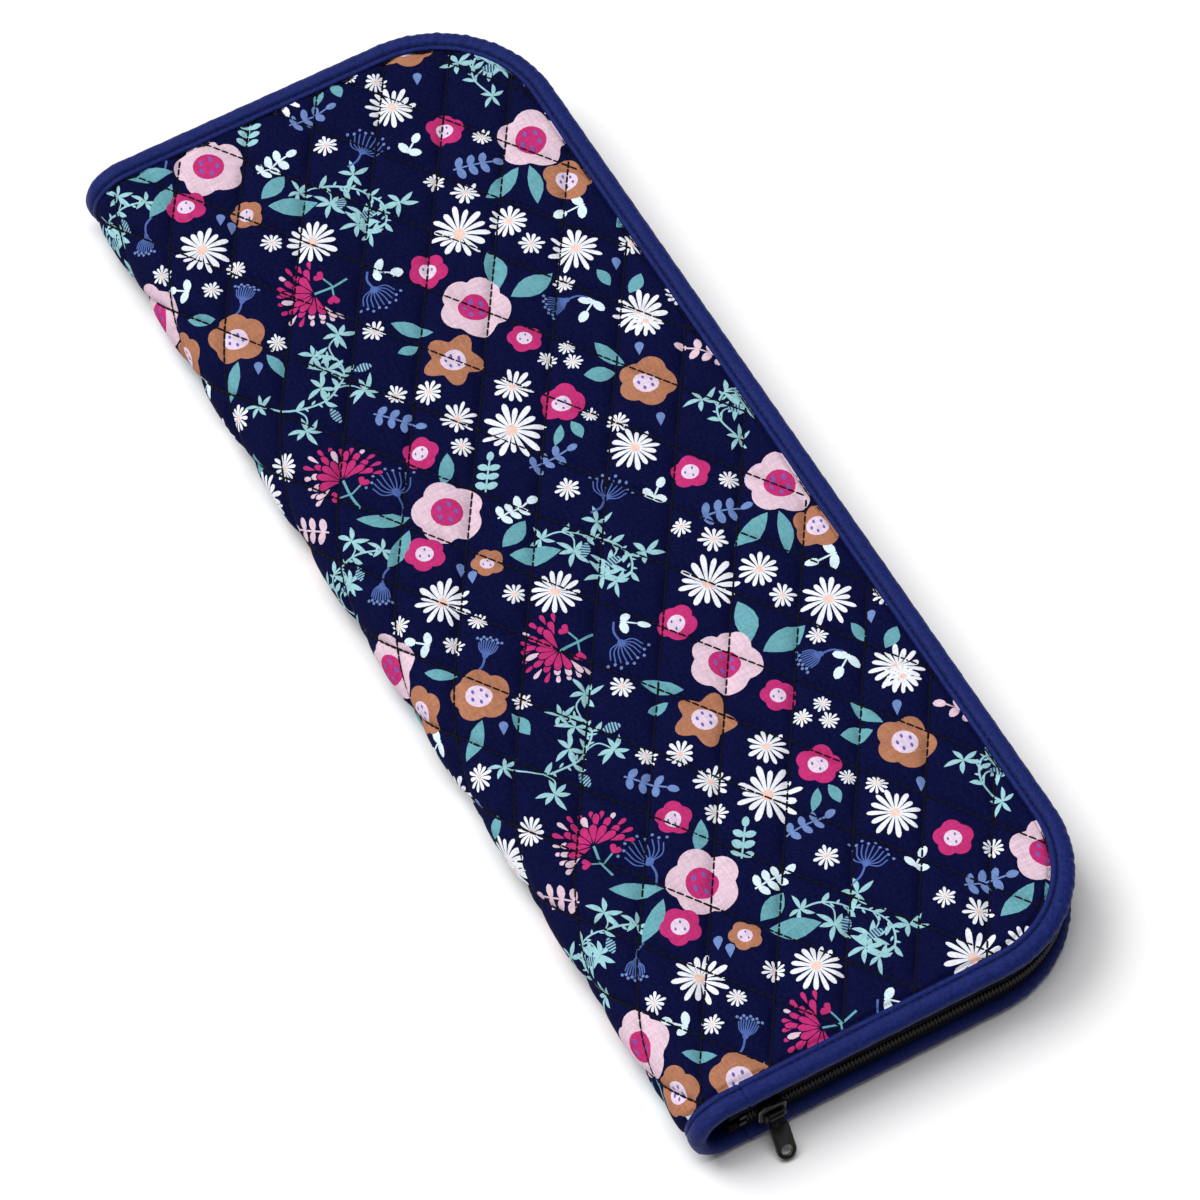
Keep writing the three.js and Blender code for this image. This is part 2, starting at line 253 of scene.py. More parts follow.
def make_mesh(name, points, faces, materials, uv=None, normals=None, face_material=None):
    """Smooth mesh object; points in metres."""
    mesh = bpy.data.meshes.new(name)
    faces = faces.tolist() if isinstance(faces, np.ndarray) else faces
    mesh.from_pydata(np.asarray(points, float).tolist(), [], faces)
    if face_material is not None:
        mesh.polygons.foreach_set("material_index", np.asarray(face_material, np.int32))
    mesh.polygons.foreach_set("use_smooth", np.ones(len(mesh.polygons), bool))
    if uv is not None:
        layer = mesh.uv_layers.new(name="cloth")
        corner = np.zeros(len(mesh.loops), np.int32)
        mesh.loops.foreach_get("vertex_index", corner)
        layer.data.foreach_set("uv", np.asarray(uv, np.float32)[corner].ravel())
    if normals is not None:
        mesh.normals_split_custom_set_from_vertices(np.asarray(normals, float).tolist())
    mesh.validate(clean_customdata=False)
    mesh.update()
    for material in materials:
        mesh.materials.append(material)
    return linked(name, mesh)


def grid_faces(rows, columns, closed=False, flip=False):
    """Quads of a grid of points; closed joins its last column to its first."""
    i, j = np.meshgrid(np.arange(rows - 1), np.arange(columns if closed else columns - 1), indexing="ij")
    beside = (j + 1) % columns
    quads = np.stack([i * columns + j, i * columns + beside,
                      (i + 1) * columns + beside, (i + 1) * columns + j], -1).reshape(-1, 4)
    return quads[:, ::-1] if flip else quads


def tube_faces(rows, columns, flip=False):
    """Faces of a closed tube of point rings, with both ends."""
    first = list(range(columns))
    last = list(range((rows - 1) * columns, rows * columns))
    ends = [first[::-1], last] if flip else [first, last[::-1]]
    return grid_faces(rows, columns, True, flip).tolist() + ends


def swept(name, rings, s, girth, material, flip):
    """Tube of closed sections at distances s; each ring holds one point of all the sections."""
    rings = np.stack(rings, 1)
    uv = np.stack(np.meshgrid(s, girth, indexing="ij"), -1).reshape(-1, 2) / UV_MM
    faces = tube_faces(*rings.shape[:2], flip)
    return make_mesh(name, rings.reshape(-1, 3), faces, [material], uv=uv)


def threads(name, centres, directions, normals, length, radius, material, sides=5, sink=0.35):
    """Short rounded stitches, each with both ends diving into the cloth."""
    along = np.array([-0.5, -0.4, 0.0, 0.4, 0.5])
    swell = np.array([0.45, 0.9, 1.0, 0.9, 0.45])
    dive = -np.array([1.0, 0.25, 0.0, 0.25, 1.0]) * radius * sink * 4
    across = np.cross(directions, normals)
    points = []
    for k in range(len(along)):
        mid = centres + (directions * along[k] * length + normals * dive[k]) / MM
        for a in np.arange(sides) / sides * TAU:
            points.append(mid + (across * math.cos(a) + normals * math.sin(a)) * radius * swell[k] / MM)
    points = np.stack(points, 1)
    single = tube_faces(len(along), sides)
    faces = [[v + len(along) * sides * n for v in face] for n in range(len(centres)) for face in single]
    return make_mesh(name, points.reshape(-1, 3), faces, [material])


def ring_normals(section):
    """Outward normals in the section's own plane, for a closed ring of points."""
    n = -unit(sideways(np.roll(section, -1, 0) - np.roll(section, 1, 0)))
    outward = ((section - section.mean(0)) * n).sum() > 0
    return n if outward else -n


# -------------------------------------------------------------------- materials
def linear(rgb):
    """Linear colour, with alpha, of an sRGB colour from 0 to 255."""
    share = np.asarray(rgb, float) / 255
    return tuple(np.where(share <= 0.04045, share / 12.92, ((share + 0.055) / 1.055) ** 2.4)) + (1.0,)


def scaled(colour, share, plus=0.0):
    """A linear colour made darker or lighter, but never lighter than white."""
    return tuple(min(v * share + plus, 1) for v in colour[:3]) + (1,)


class Nodes:
    """Shorthand for one material's node tree."""

    def __init__(self, name):
        self.material = bpy.data.materials.new(name)
        self.material.use_nodes = True
        self.tree = self.material.node_tree
        self.shader = self.tree.nodes["Principled BSDF"]

    def feed(self, socket, value):
        """Links the value if it is another node's output, or else sets it."""
        if hasattr(value, "is_output"):
            self.tree.links.new(value, socket)
        else:
            socket.default_value = value

    def add(self, kind, values, **settings):
        node = self.tree.nodes.new(kind)
        for key, value in settings.items():
            setattr(node, key, value)
        for key, value in values.items():
            self.feed(node.inputs[key], value)
        return node

    def set(self, **sockets):
        for key, value in sockets.items():
            self.feed(self.shader.inputs[key.replace("_", " ")], value)

    def maths(self, operation, a, b):
        return self.add("ShaderNodeMath", {0: a, 1: b}, operation=operation).outputs[0]

    def times_plus(self, a, factor, other):
        """The value a times the factor, plus the other value."""
        values = {0: a, 1: factor, 2: other}
        return self.add("ShaderNodeMath", values, operation="MULTIPLY_ADD").outputs[0]

    def mix(self, share, a, b, blend="MIX"):
        values = {0: share, 6: a, 7: b}
        return self.add("ShaderNodeMix", values, data_type="RGBA", blend_type=blend).outputs[2]

    def shaded(self, colour, shade):
        """The colour times a grey value."""
        grey = self.add("ShaderNodeCombineColor", {0: shade, 1: shade, 2: shade}).outputs[0]
        return self.mix(1.0, colour, grey, "MULTIPLY")

    def relief(self, height, strength, depth):
        """Bump as deep as that many millimetres."""
        values = {"Height": height, "Strength": strength, "Distance": depth / MM}
        self.set(Normal=self.add("ShaderNodeBump", values).outputs[0])

    def mapped(self, source, unit_mm, scale, turn):
        node = self.add("ShaderNodeMapping", {"Vector": source})
        node.inputs["Scale"].default_value = tuple(unit_mm * k for k in scale)
        node.inputs["Rotation"].default_value = (0, 0, turn)
        return node.outputs[0]

    def on_cloth(self, scale=(1, 1, 1), turn=0.0):
        """Place in millimetres on the flat cloth."""
        source = self.add("ShaderNodeUVMap", {}, uv_map="cloth").outputs[0]
        return self.mapped(source, UV_MM, scale, turn)

    def in_space(self, turn=0.0):
        """Place in millimetres in the object's own space."""
        source = self.add("ShaderNodeTexCoord", {}).outputs["Object"]
        return self.mapped(source, MM, (1, 1, 1), turn)


def noise(nodes, place, scale, detail=3.0, roughness=0.55):
    """Uneven grey from 0 to 1; scale is in waves per millimetre."""
    values = {"Vector": place, "Scale": scale, "Detail": detail, "Roughness": roughness}
    return nodes.add("ShaderNodeTexNoise", values).outputs[0]


def thread_wave(nodes, place, pitch, direction, warp=0.8):
    """Rounded ridges at that pitch, slightly uneven, from 0 to 1."""
    values = {"Vector": place, "Scale": TAU / (20 * pitch), "Distortion": warp, "Detail": 1.0,
              "Detail Scale": 0.35}
    return nodes.add("ShaderNodeTexWave", values, wave_type="BANDS", bands_direction=direction,
                     wave_profile="SIN").outputs[1]


def woven(name, rgb, pitch=0.5, contrast=0.22, slub=0.22, bump=0.045, ribs=False):
    """Woven cloth: crossing threads, uneven yarn, slight colour drift, sheen."""
    n = Nodes(name)
    place = n.on_cloth()
    warp = thread_wave(n, place, pitch, "X")
    weft = thread_wave(n, place, pitch * (2.2 if ribs else 1.0), "Y")
    weave = n.times_plus(weft, 0.25, warp) if ribs else n.maths("MULTIPLY", warp, weft)
    long_yarn = noise(n, n.on_cloth((0.12, 1.5, 0.7)), 1.0, 2.0)
    cross_yarn = noise(n, n.on_cloth((1.5, 0.12, 0.7)), 1.0, 2.0)
    yarn = n.maths("ADD", long_yarn, cross_yarn)
    drift = noise(n, place, 0.03, 2.0)
    grain = noise(n, place, 0.9, 4.0, 0.7)
    base = linear(rgb)
    share = n.times_plus(weave, 0.4, n.times_plus(grain, 2.4, -0.9))
    colour = n.mix(share, scaled(base, 1 - contrast), scaled(base, 1 + contrast, 0.003))
    shade = n.times_plus(n.maths("SUBTRACT", yarn, 1.0), slub * 2.2, n.times_plus(drift, 0.16, 0.92))
    n.set(Base_Color=n.shaded(colour, shade))
    n.set(Roughness=n.times_plus(weave, -0.10, 0.9))
    n.set(Sheen_Weight=0.12, Sheen_Roughness=0.5, Sheen_Tint=base, Specular_IOR_Level=0.03)
    n.relief(n.times_plus(yarn, 0.35, weave), 0.6, bump)
    return n.material


def satin_tape(name, rgb):
    """Bias tape: fine slanting weave, fine creases and a soft shine along the fold."""
    n = Nodes(name)
    place = n.on_cloth(turn=0.7)
    warp = thread_wave(n, place, 0.55, "X", 0.5)
    weft = thread_wave(n, place, 0.42, "Y", 0.5)
    weave = n.times_plus(weft, 0.4, warp)
    yarn = noise(n, n.on_cloth((0.25, 1.6, 1), 0.7), 1.0)
    drift = noise(n, n.on_cloth(), 0.05)
    speckle = noise(n, n.on_cloth(), 0.9, 4.0, 0.7)
    crease = noise(n, n.on_cloth((0.9, 0.25, 1), 0.5), 1.0, 3.0, 0.65)
    base = linear(rgb)
    light = scaled(base, 1.7, 0.005)
    share = n.times_plus(speckle, 1.6, n.times_plus(yarn, 0.6, -0.75))
    colour = n.mix(share, scaled(base, 0.5), light)
    n.set(Base_Color=n.shaded(colour, n.times_plus(drift, 0.3, 0.85)))
    n.set(Roughness=n.times_plus(weave, -0.12, 0.56))
    n.set(Sheen_Weight=0.15, Sheen_Roughness=0.4, Sheen_Tint=light, Specular_IOR_Level=0.1)
    n.relief(n.times_plus(crease, 3.0, n.times_plus(yarn, 0.8, weave)), 0.7, 0.09)
    return n.material


def hard(name, rgb, metallic, rough, scuff_rgb):
    """Enamel, bare metal or nylon: fine orange peel, uneven shine, small scuffs."""
    n = Nodes(name)
    place = n.in_space()
    spots = noise(n, place, 0.35)
    values = {"Value": noise(n, place, 2.5, 6.0, 0.7), "From Min": 0.6, "From Max": 0.75}
    scuffs = n.add("ShaderNodeMapRange", values).outputs[0]
    n.set(Base_Color=n.mix(scuffs, linear(rgb), linear(scuff_rgb)))
    n.set(Metallic=metallic, Roughness=n.times_plus(spots, 0.14, rough), Specular_IOR_Level=0.18)
    n.relief(noise(n, place, 1.4, 4.0), 0.25, 0.02)
    return n.material


def cotton_thread(name, rgb):
    """Twisted sewing thread."""
    n = Nodes(name)
    twist = thread_wave(n, n.in_space(0.5), 0.35, "X", 0.4)
    base = linear(rgb)
    n.set(Base_Color=n.mix(twist, base, scaled(base, 2.2)), Roughness=0.8, Specular_IOR_Level=0.15)
    n.relief(twist, 0.5, 0.04)
    return n.material


PRINT_COLOURS = {
    "ground": (7, 11, 53),
    "white": (230, 233, 240),
    "peach": (236, 200, 188),
    "pale_pink": (216, 189, 204),
    "magenta": (185, 46, 111),
    "lilac": (218, 200, 220),
    "violet": (110, 92, 170),
    "caramel": (170, 115, 88),
    "teal": (101, 160, 171),
    "mint": (150, 197, 204),
    "slate": (52, 78, 118),
    "ice": (212, 232, 240),
    "blue": (106, 132, 186),
    "umbel": (78, 102, 166),
}
COLOUR_ORDER = list(PRINT_COLOURS)
print_materials = [woven(f"cloth_{key}", rgb, contrast=0.28 - 0.20 * max(rgb) / 255)
                   for key, rgb in PRINT_COLOURS.items()]
binding_material = satin_tape("binding_satin", (18, 32, 98))
lining_material = woven("lining_weave", (30, 36, 84), pitch=0.6, contrast=0.12)
tape_material = woven("zip_tape_weave", (9, 9, 12), pitch=0.7, contrast=0.35, slub=0.1, ribs=True)
elastic_material = woven("elastic_ribs", (15, 15, 18), pitch=0.9, contrast=0.4, slub=0.08, bump=0.12,
                         ribs=True)
nylon_material = hard("black_nylon", (8, 8, 10), 0.0, 0.42, (30, 30, 34))
enamel_material = hard("black_enamel", (6, 6, 8), 0.0, 0.30, (20, 20, 22))
# lighter metal on the chamfers of the slider and pull: wear, and also a painted highlight along their edges
worn_and_highlight_material = hard("worn_and_highlight_edges", (78, 80, 78), 0.8, 0.28, (50, 48, 46))
# brass colour on the wall of the pull's hole: brass, and also a painted glint in the hole
brass_and_glint_material = hard("brass_and_glint", (168, 132, 78), 0.9, 0.25, (90, 66, 36))
black_thread = cotton_thread("black_thread", (4, 4, 8))
navy_thread = cotton_thread("navy_thread", (4, 4, 14))


# ---------------------------------------------------------- the printed pattern
# a motif gives one (outline, colour) after the other, from its lowest shape to its top one
def polar(x, c, radius, count, phase=0.0):
    """Closed outline about (x, c), with its radius as a function of the angle."""
    a = np.arange(count) / count * TAU
    r = radius(a - phase)
    return np.column_stack([x + r * np.cos(a), c + r * np.sin(a)])


def disc(x, c, r, count):
    return polar(x, c, lambda a: r + 0 * a, count)


def spindle(start, end, width, shape, bend=0.0):
    """Closed outline about a line: shape gives the half width at each share of it."""
    start, end = np.array([start, end], float)
    line = end - start
    length = math.hypot(*line)
    side = sideways(line) / length
    t, half = np.array(shape).T
    half = half * width / 2
    middle = start + t[:, None] * line + (bend * length * np.sin(np.pi * t))[:, None] * side
    left = middle + half[:, None] * side
    right = middle - half[:, None] * side
    return np.vstack([left, right[half > 0][::-1]])


PETAL = ((0, 0.30), (0.3, 0.62), (0.6, 0.95), (0.8, 1.0), (0.93, 0.72), (1.0, 0.0))
DROP = ((0, 0.0), (0.25, 0.42), (0.55, 0.86), (0.75, 1.0), (0.92, 0.7), (1.0, 0.0))
ALMOND = ((0, 0.0), (0.12, 0.42), (0.3, 0.85), (0.48, 1.0), (0.68, 0.86), (0.86, 0.45), (1.0, 0.0))
OVAL = ((0, 0.0), (0.1, 0.6), (0.32, 0.96), (0.6, 1.0), (0.86, 0.66), (1.0, 0.0))


def toward(x, c, angle, r):
    """Point at distance r from (x, c), in that direction."""
    return x + r * math.cos(angle), c + r * math.sin(angle)


def smoothed(p, steps=5):
    """Catmull-Rom curve through the points, with that many steps between them."""
    knots = np.vstack([2 * p[0] - p[1], p, 2 * p[-1] - p[-2]])
    curve = []
    for a, b, d, e in zip(knots, knots[1:], knots[2:], knots[3:]):
        for t in np.arange(steps) / steps:
            curve.append(0.5 * (2 * b + (d - a) * t + (2 * a - 5 * b + 4 * d - e) * t ** 2
                                + (3 * b - a - 3 * d + e) * t ** 3))
    return np.vstack([*curve, p[-1]])


def stroke(points, width):
    """Ribbon of even width along a smooth curve through the points."""
    p = np.asarray(points, float)
    if len(p) > 2:
        p = smoothed(p)
    side = sideways(unit(np.gradient(p, axis=0))) * width / 2
    return np.vstack([p + side, (p - side)[::-1]])


def heart(x, c, r, turn, colour):
    """Middle of a flower: a disc and a few seeds."""
    size = r * 0.44
    yield disc(x, c, size, int(8 + 2.2 * size)), colour
    count = 5 if r > 8 else 3
    seed = max(0.085 * r, 0.45)
    for k in range(count):
        sx, sc = toward(x, c, turn + 0.5 + k * TAU / count, size * 0.56)
        yield spindle((sx - seed, sc - 0.2), (sx + seed, sc + 0.2), seed * 1.2, OVAL), "violet"


def round_flower(x, c, r, turn, colour, middle):
    """Five rounded lobes about a heart."""
    def lobes(a):
        return r * (0.80 + 0.20 * np.abs(np.cos(2.5 * a)) ** 0.8) * (1 + 0.04 * np.sin(a + turn))

    yield polar(x, c, lobes, 46, turn), colour
    yield from heart(x, c, r, turn, middle)


def star_flower(x, c, r, turn, colour, middle):
    """Five blunt points about a heart."""
    def lobes(a):
        return r * (0.66 + 0.34 * (0.5 + 0.5 * np.cos(5 * a)) ** 0.85)

    yield polar(x, c, lobes, 45, turn), colour
    yield from heart(x, c, r * 0.92, turn, middle)


def daisy(x, c, r):
    """Ring of separate petals round a small centre, no two quite the same."""
    count = 15 if r > 8 else 13 if r > 5 else 11
    turn = 0.37 * x + 0.21 * c
    for k in range(count):
        a = turn + k * TAU / count
        reach = r * (0.93 + 0.11 * math.sin(3.1 * k + x) - 0.07 * math.cos(a - 0.4 * x))
        width = 2.95 * r / count * (0.95 + 0.1 * math.sin(2.3 * k + c))
        yield spindle(toward(x, c, a, r * 0.12), toward(x, c, a, reach), width, PETAL), "white"
    yield disc(x, c, r * 0.19, 9), "peach"


def burst_flower(x, c, angle, r):
    """Fan of drop petals over a stem, magenta with a few pale ones."""
    behind = angle + math.pi
    stem = [(x, c), toward(x, c, behind + 0.12, r * 0.5), toward(x, c, behind, r * 0.95)]
    yield stroke(stem, 0.8), "teal"
    root = toward(x, c, behind, r * 0.5)
    for side in (-1, 1):
        tip = toward(*root, angle + side * 1.25, r * 0.3)
        yield stroke([root, tip], 0.6), "teal"
        for k in (-1, 1):
            a = angle + side * 1.1 + 0.45 * k
            yield spindle(tip, toward(*tip, a, r * 0.26), r * 0.16, DROP), "magenta"
    rings = ((0.74, 1.04, 0.12, 14, 1.9), (0.42, 0.86, 0.17, 10, 1.75), (0.08, 0.64, 0.20, 7, 1.45))
    for ring, (near, far, width, count, spread) in enumerate(rings):
        for k in range(count):
            a = angle + (2 * k / (count - 1) - 1) * spread
            reach = r * far * (1 + 0.06 * math.sin(5.3 * k + ring))
            pale = ring < 2 and (k < 4 - ring or k % 5 == 0)
            foot = toward(x, c, a, r * near)
            yield spindle(foot, toward(x, c, a, reach + r * 0.03), r * (width + 0.07), DROP), "ground"
            yield spindle(foot, toward(x, c, a, reach), r * width, DROP), "pale_pink" if pale else "magenta"


def umbel(x, c, angle, r, spread):
    """Dome of fine rays that bow outward, each with a bead, on a curved stem."""
    behind = angle + math.pi
    stem = [(x, c), toward(x, c, behind, r * 0.5), toward(x, c, behind + 0.25, r * 0.95)]
    yield stroke(stem, 0.7), "umbel"
    count = 9
    for k in range(count):
        share = 2 * k / (count - 1) - 1
        a = angle + share * spread * 0.62
        tip = toward(x, c, a, r * (1 - 0.08 * share * share))
        bow = toward(x, c, angle + share * spread * 0.86, r * 0.52)
        yield stroke([toward(x, c, angle, r * 0.05), bow, tip], 0.42), "umbel"
        yield disc(*toward(x, c, a, r * (1.04 if k % 2 else 1.16)), 0.55, 6), "blue"
    yield spindle(toward(x, c, behind, r * 0.08), toward(x, c, angle, r * 0.3), r * 0.3, OVAL), "umbel"


def sprig(start, end, colour, size, pairs):
    """Straight stem with opposite leaves and one at the tip."""
    width = size * 0.62
    start, end = np.array([start, end], float)
    angle = math.atan2(*(end - start)[::-1])
    yield stroke([start, end], 0.6), colour
    yield spindle(end, toward(*end, angle, size), width, OVAL), colour
    for k in range(pairs):
        at = start + (end - start) * (0.12 + 0.9 * k / pairs)
        for side in (-1, 1):
            yield spindle(at, toward(*at, angle + side * 1.2, size * 1.05), width, OVAL), colour


def leaf_star(x, c, r, turn, count):
    """Pointed leaves all round one point, no two quite the same."""
    for k in range(count):
        a = turn + k * TAU / count + 0.25 * math.sin(2.7 * k + x)
        reach = r * (0.8 + 0.35 * math.sin(1.9 * k + c) ** 2)
        yield spindle((x, c), toward(x, c, a, reach), r * 0.28, ALMOND, 0.06), "mint"


def hatched_leaf(start, end, width):
    """Dark leaf drawn with short bars across its line."""
    start, end = np.array([start, end], float)
    way = (end - start) / math.hypot(*(end - start))
    side = sideways(way)
    yield spindle(start, end, width, ALMOND), "slate"
    for k in range(6):
        t = (k + 0.7) / 6.6
        at = start + (end - start) * t
        half = width / 2 * math.sin(math.pi * t)
        yield stroke([at - side * half, at + side * half + way * 0.3], 0.38), "mint"


def twig(points, turn):
    """Curved stem with thorns and leafy shoots on alternate sides."""
    p = np.asarray(points, float)
    yield stroke(p, 0.65), "mint"
    for k in range(1, len(p) - 1):
        way = p[k + 1] - p[k - 1]
        angle = math.atan2(way[1], way[0])
        side = 1 if k % 2 else -1
        for share, lean in ((0.3, side), (0.55, -side), (0.8, side)):
            root = p[k] * (1 - share) + p[k + 1] * share
            yield spindle(root, toward(*root, angle + 0.9 * lean, 2.2), 0.8, ALMOND), "mint"
        reach = 5.5 + 3.5 * (k % 2)
        tip = toward(*p[k], angle + side * 1.2, reach)
        yield stroke([p[k], toward(*p[k], angle + side * 0.7, reach / 2), tip], 0.5), "mint"
        yield from leaf_star(*tip, 6.0, turn + k, 5 + k % 2)
        yield spindle(p[k], toward(*p[k], angle - side * 0.9, 4.6), 1.7, ALMOND, 0.08), "mint"
        if k % 2 == 0:
            near, far = (toward(*p[k], angle - side * 1.5, distance) for distance in (3, 9.5))
            yield from hatched_leaf(near, far, 3.2)
    for end, inner in ((p[0], p[1]), (p[-1], p[-2])):
        yield from leaf_star(*end, 5.0, math.atan2(*(end - inner)[::-1]), 5)


# one repeat of the print: (x, c) places, then sizes and angles
REPEAT = np.array([(159.1, -3.15), (-5.5, 146.5)])
REPEATS_ALONG = range(-2, 3)
REPEATS_ACROSS = range(-3, 3)
PINK_FLOWERS = ((28, 50.5, 12, 0.2), (-65, 100, 12, 0.9), (-15, 149.5, 12, 0.5))
CARAMEL_FLOWERS = (
    (-37.5, 26, 9.9, 0.3), (40.5, 131.5, 9.8, 0.8), (5, 52.5, 5.5, 0.1), (-35, 152, 8.5, 0.6),
)
CARAMEL_STARS = ((-80, 84, 10.5, -1.57),)
MAGENTA_FLOWERS = (
    (17.5, 36.5, 6.8, 0), (52.5, 54, 6, 0.5), (-44.5, 94, 6.6, 1), (-84, 108.5, 6, 0.2),
    (47, 103.5, 7.5, 0.7), (3, 126.5, 6.6, 0.4),
)
FLOWERS = (
    (round_flower, PINK_FLOWERS, "pale_pink", "magenta"),
    (round_flower, CARAMEL_FLOWERS, "caramel", "lilac"),
    (star_flower, CARAMEL_STARS, "caramel", "lilac"),
    (round_flower, MAGENTA_FLOWERS, "magenta", "lilac"),
)
BURSTS = ((-34.6, 57, -math.pi / 2, 12.8), (56, 27.5, 0, 12.8))
DAISIES = (
    (-0.7, 33, 9.2), (-15.2, 66.3, 9), (45.6, 84.3, 10.5), (-36.7, 110.2, 10.3), (19.8, 115.6, 8.8),
    (-61, 140.6, 9), (65.6, 143.8, 9.3), (-88, 15.7, 5.5), (58.5, 71.2, 6), (60.6, 92.7, 7),
    (-40.5, 127, 7), (-23.3, 120, 5), (-92, 0, 6), (-87.3, 71, 4.8), (-62, 11.5, 4.8),
    (-1.4, 16.3, 3.7), (-16.7, 28.2, 3.5), (-45.3, 37.4, 3.3), (-12.6, 39.5, 3.5), (-9.8, 54.4, 4),
    (-82.5, 61.3, 3.7), (-57, 67.2, 4.4), (48, 67, 4), (16.8, 88.8, 4.4), (64.5, 108, 3.3),
    (59, 114.5, 3.3), (65.5, 116, 3.2), (32, 116, 4), (38.5, 109.5, 3), (-13.8, 113.5, 3.7),
    (-52.4, 128.7, 4.5), (-71, 130.8, 3.7), (-5.8, 135.8, 3.7),
)
LEAVES = (
    ((-54.5, 10.3), (-46, 22.5), 5.5), ((-58, 33), (-48, 32), 4.5), ((-20.7, 15), (-27, 24), 4.5),
    ((19.2, 23.8), (28.7, 37), 5.5), ((40, 23.8), (32.6, 39.5), 6), ((38.3, 54.4), (47.8, 61.5), 5),
    ((4, 60.2), (-2.8, 75.4), 7), ((7.6, 59.6), (13, 71), 6), ((-69, 69.5), (-69, 77), 4),
    ((-57.2, 73.3), (-67.3, 83.7), 5), ((33.5, 93.5), (39.5, 99), 3.3), ((31.5, 102.5), (39, 102.5), 4),
    ((-62.6, 111), (-46.8, 115.3), 7.5), ((-67.6, 112.6), (-65.2, 129.6), 8), ((52.6, 115), (49.3, 125), 6),
    ((62.4, 124.5), (50.2, 129.3), 5), ((-28, 125), (-23, 140.3), 6.5), ((-38.8, 138.8), (-24.2, 143.8), 5),
    ((-79.5, 143.3), (-72, 142.5), 4), ((-79.5, 1), (-75, 8), 5),
)
BLUE_DROPS = ((-51.8, 27), (7, 44), (2.6, 45.8), (25.5, 128.4), (52.9, 136), (-72.7, 149.5))
UMBELS = (
    (-26, 34.5, 0.75, 6.5, 0.9), (-42, 74.8, math.pi, 8, 1.5), (15, 19.5, -2.5, 6.5, 0.9),
    (42, 40, 0.1, 9, 1.5), (8.2, 97.7, 0.9, 8, 1.5), (-77.6, 128.5, -1.45, 7, 0.9),
)
SPRIGS = (
    ((73, 48), (63, 58), "blue", 4.0, 3), ((30, 82), (30, 96), "blue", 3.8, 3),
    ((-13, 121), (-16.5, 134), "blue", 4.2, 3), ((17.7, 63.5), (19, 75), "ice", 4.2, 3),
    ((-35.5, 78.5), (-38.5, 83), "ice", 4.6, 1), ((0.5, 111), (3, 114.5), "ice", 4.4, 1),
    ((-82, 136), (-85, 131.5), "ice", 5.0, 1), ((-47, 152), (-46, 146), "ice", 5.0, 1),
    ((-13.5, 21.5), (-10, 18), "ice", 4.4, 1), ((29.5, 65.5), (38.5, 72), "mint", 3.8, 3),
    ((41.5, 13.5), (51.5, 3.5), "pale_pink", 4.4, 3),
)
TWIGS = (
    ((-64, 20), (-72, 30), (-74, 39.5), (-71, 46), (-66, 51), (-60, 50.5), (-56, 45)),
    ((4.6, 72), (3.5, 79), (-1.3, 86), (-7, 91.5), (-14, 94), (-21, 91), (-22, 85)),
    ((7, 147), (15, 145), (21, 147), (24.5, 152), (23.5, 162), (20, 172)),
)


def repeat_shapes():
    """All shapes of one repeat, from the lowest layer to the top one."""
    for k, points in enumerate(TWIGS):
        yield from twig(points, 0.8 * k)
    for row in SPRIGS:
        yield from sprig(*row)
    for row in UMBELS:
        yield from umbel(*row)
    for x, c in BLUE_DROPS:
        yield spindle((x - 2.2, c - 1.2), (x + 2.2, c + 1.2), 3, DROP), "blue"
    for start, end, width in LEAVES:
        yield spindle(start, end, width, ALMOND, 0.05), "teal"
    for row in BURSTS:
        yield from burst_flower(*row)
    for row in DAISIES:
        yield from daisy(*row)
    for kind, rows, colour, middle in FLOWERS:
        for row in rows:
            yield from kind(*row, colour, middle)


# --------------------------------------------------------------- quilted covers
INSIDE = 1                                # the triangulation leaves out what is outside the outlines
# the mesh's lines: places between two quilting lines, up to the middle, and beside the seam
LATTICE_HALF = ((0.5, 1.2, 2.2, 3.4, 4.7, 6.1, 7.6, 9.2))
SEAM_ROWS = [SEAM_INSET + beside for beside in (-0.6, 0, 0.6, 1.3)]


def lattice_levels(pitch, low, high):
    """Places of all the mesh's lines across one family of quilting lines."""
    inside = [0, *LATTICE_HALF, pitch / 2, *(pitch - v for v in LATTICE_HALF)]
    count = range(math.floor(low / pitch) - 1, math.ceil(high / pitch) + 1)
    return np.array(sorted(k * pitch + v for k in count for v in inside))


def lattice():
    """Cloth points where lines run beside both families of quilting lines."""
    normals = np.array([line[0] for line in QUILT_LINES])
    shifts = np.array([line[1] for line in QUILT_LINES])
    corners = np.array([(sx * HALF_L, sc * EDGE_C) for sx in (-1, 1) for sc in (-1, 1)])
    places = corners @ normals.T + shifts
    a = lattice_levels(QUILT_LINES[0][2], places[:, 0].min(), places[:, 0].max())
    b = lattice_levels(QUILT_LINES[1][2], places[:, 1].min(), places[:, 1].max())
    grid = np.stack(np.meshgrid(a, b, indexing="ij"), -1).reshape(-1, 2)
    return (grid - shifts) @ np.linalg.inv(normals).T


def cover_outline(inset, side, step):
    """Closed outline of one cover's half of the cloth, from the spine's middle."""
    s = np.linspace(0, OUTLINE_LENGTH, int(OUTLINE_LENGTH / step))
    x, c = inward(s, inset)
    middle = np.linspace(x[-1], x[0], int((x[-1] - x[0]) / step))[1:-1]
    ring = np.vstack([np.column_stack([x, c]), np.column_stack([middle, 0 * middle])])
    return ring * (1, side)


def anticlockwise(ring):
    """The same ring, turned if it runs clockwise, which the triangulation would misread."""
    x, c = ring[:, 0], ring[:, 1]
    area = (x * np.roll(c, -1) - np.roll(x, -1) * c).sum()
    return ring if area > 0 else ring[::-1]


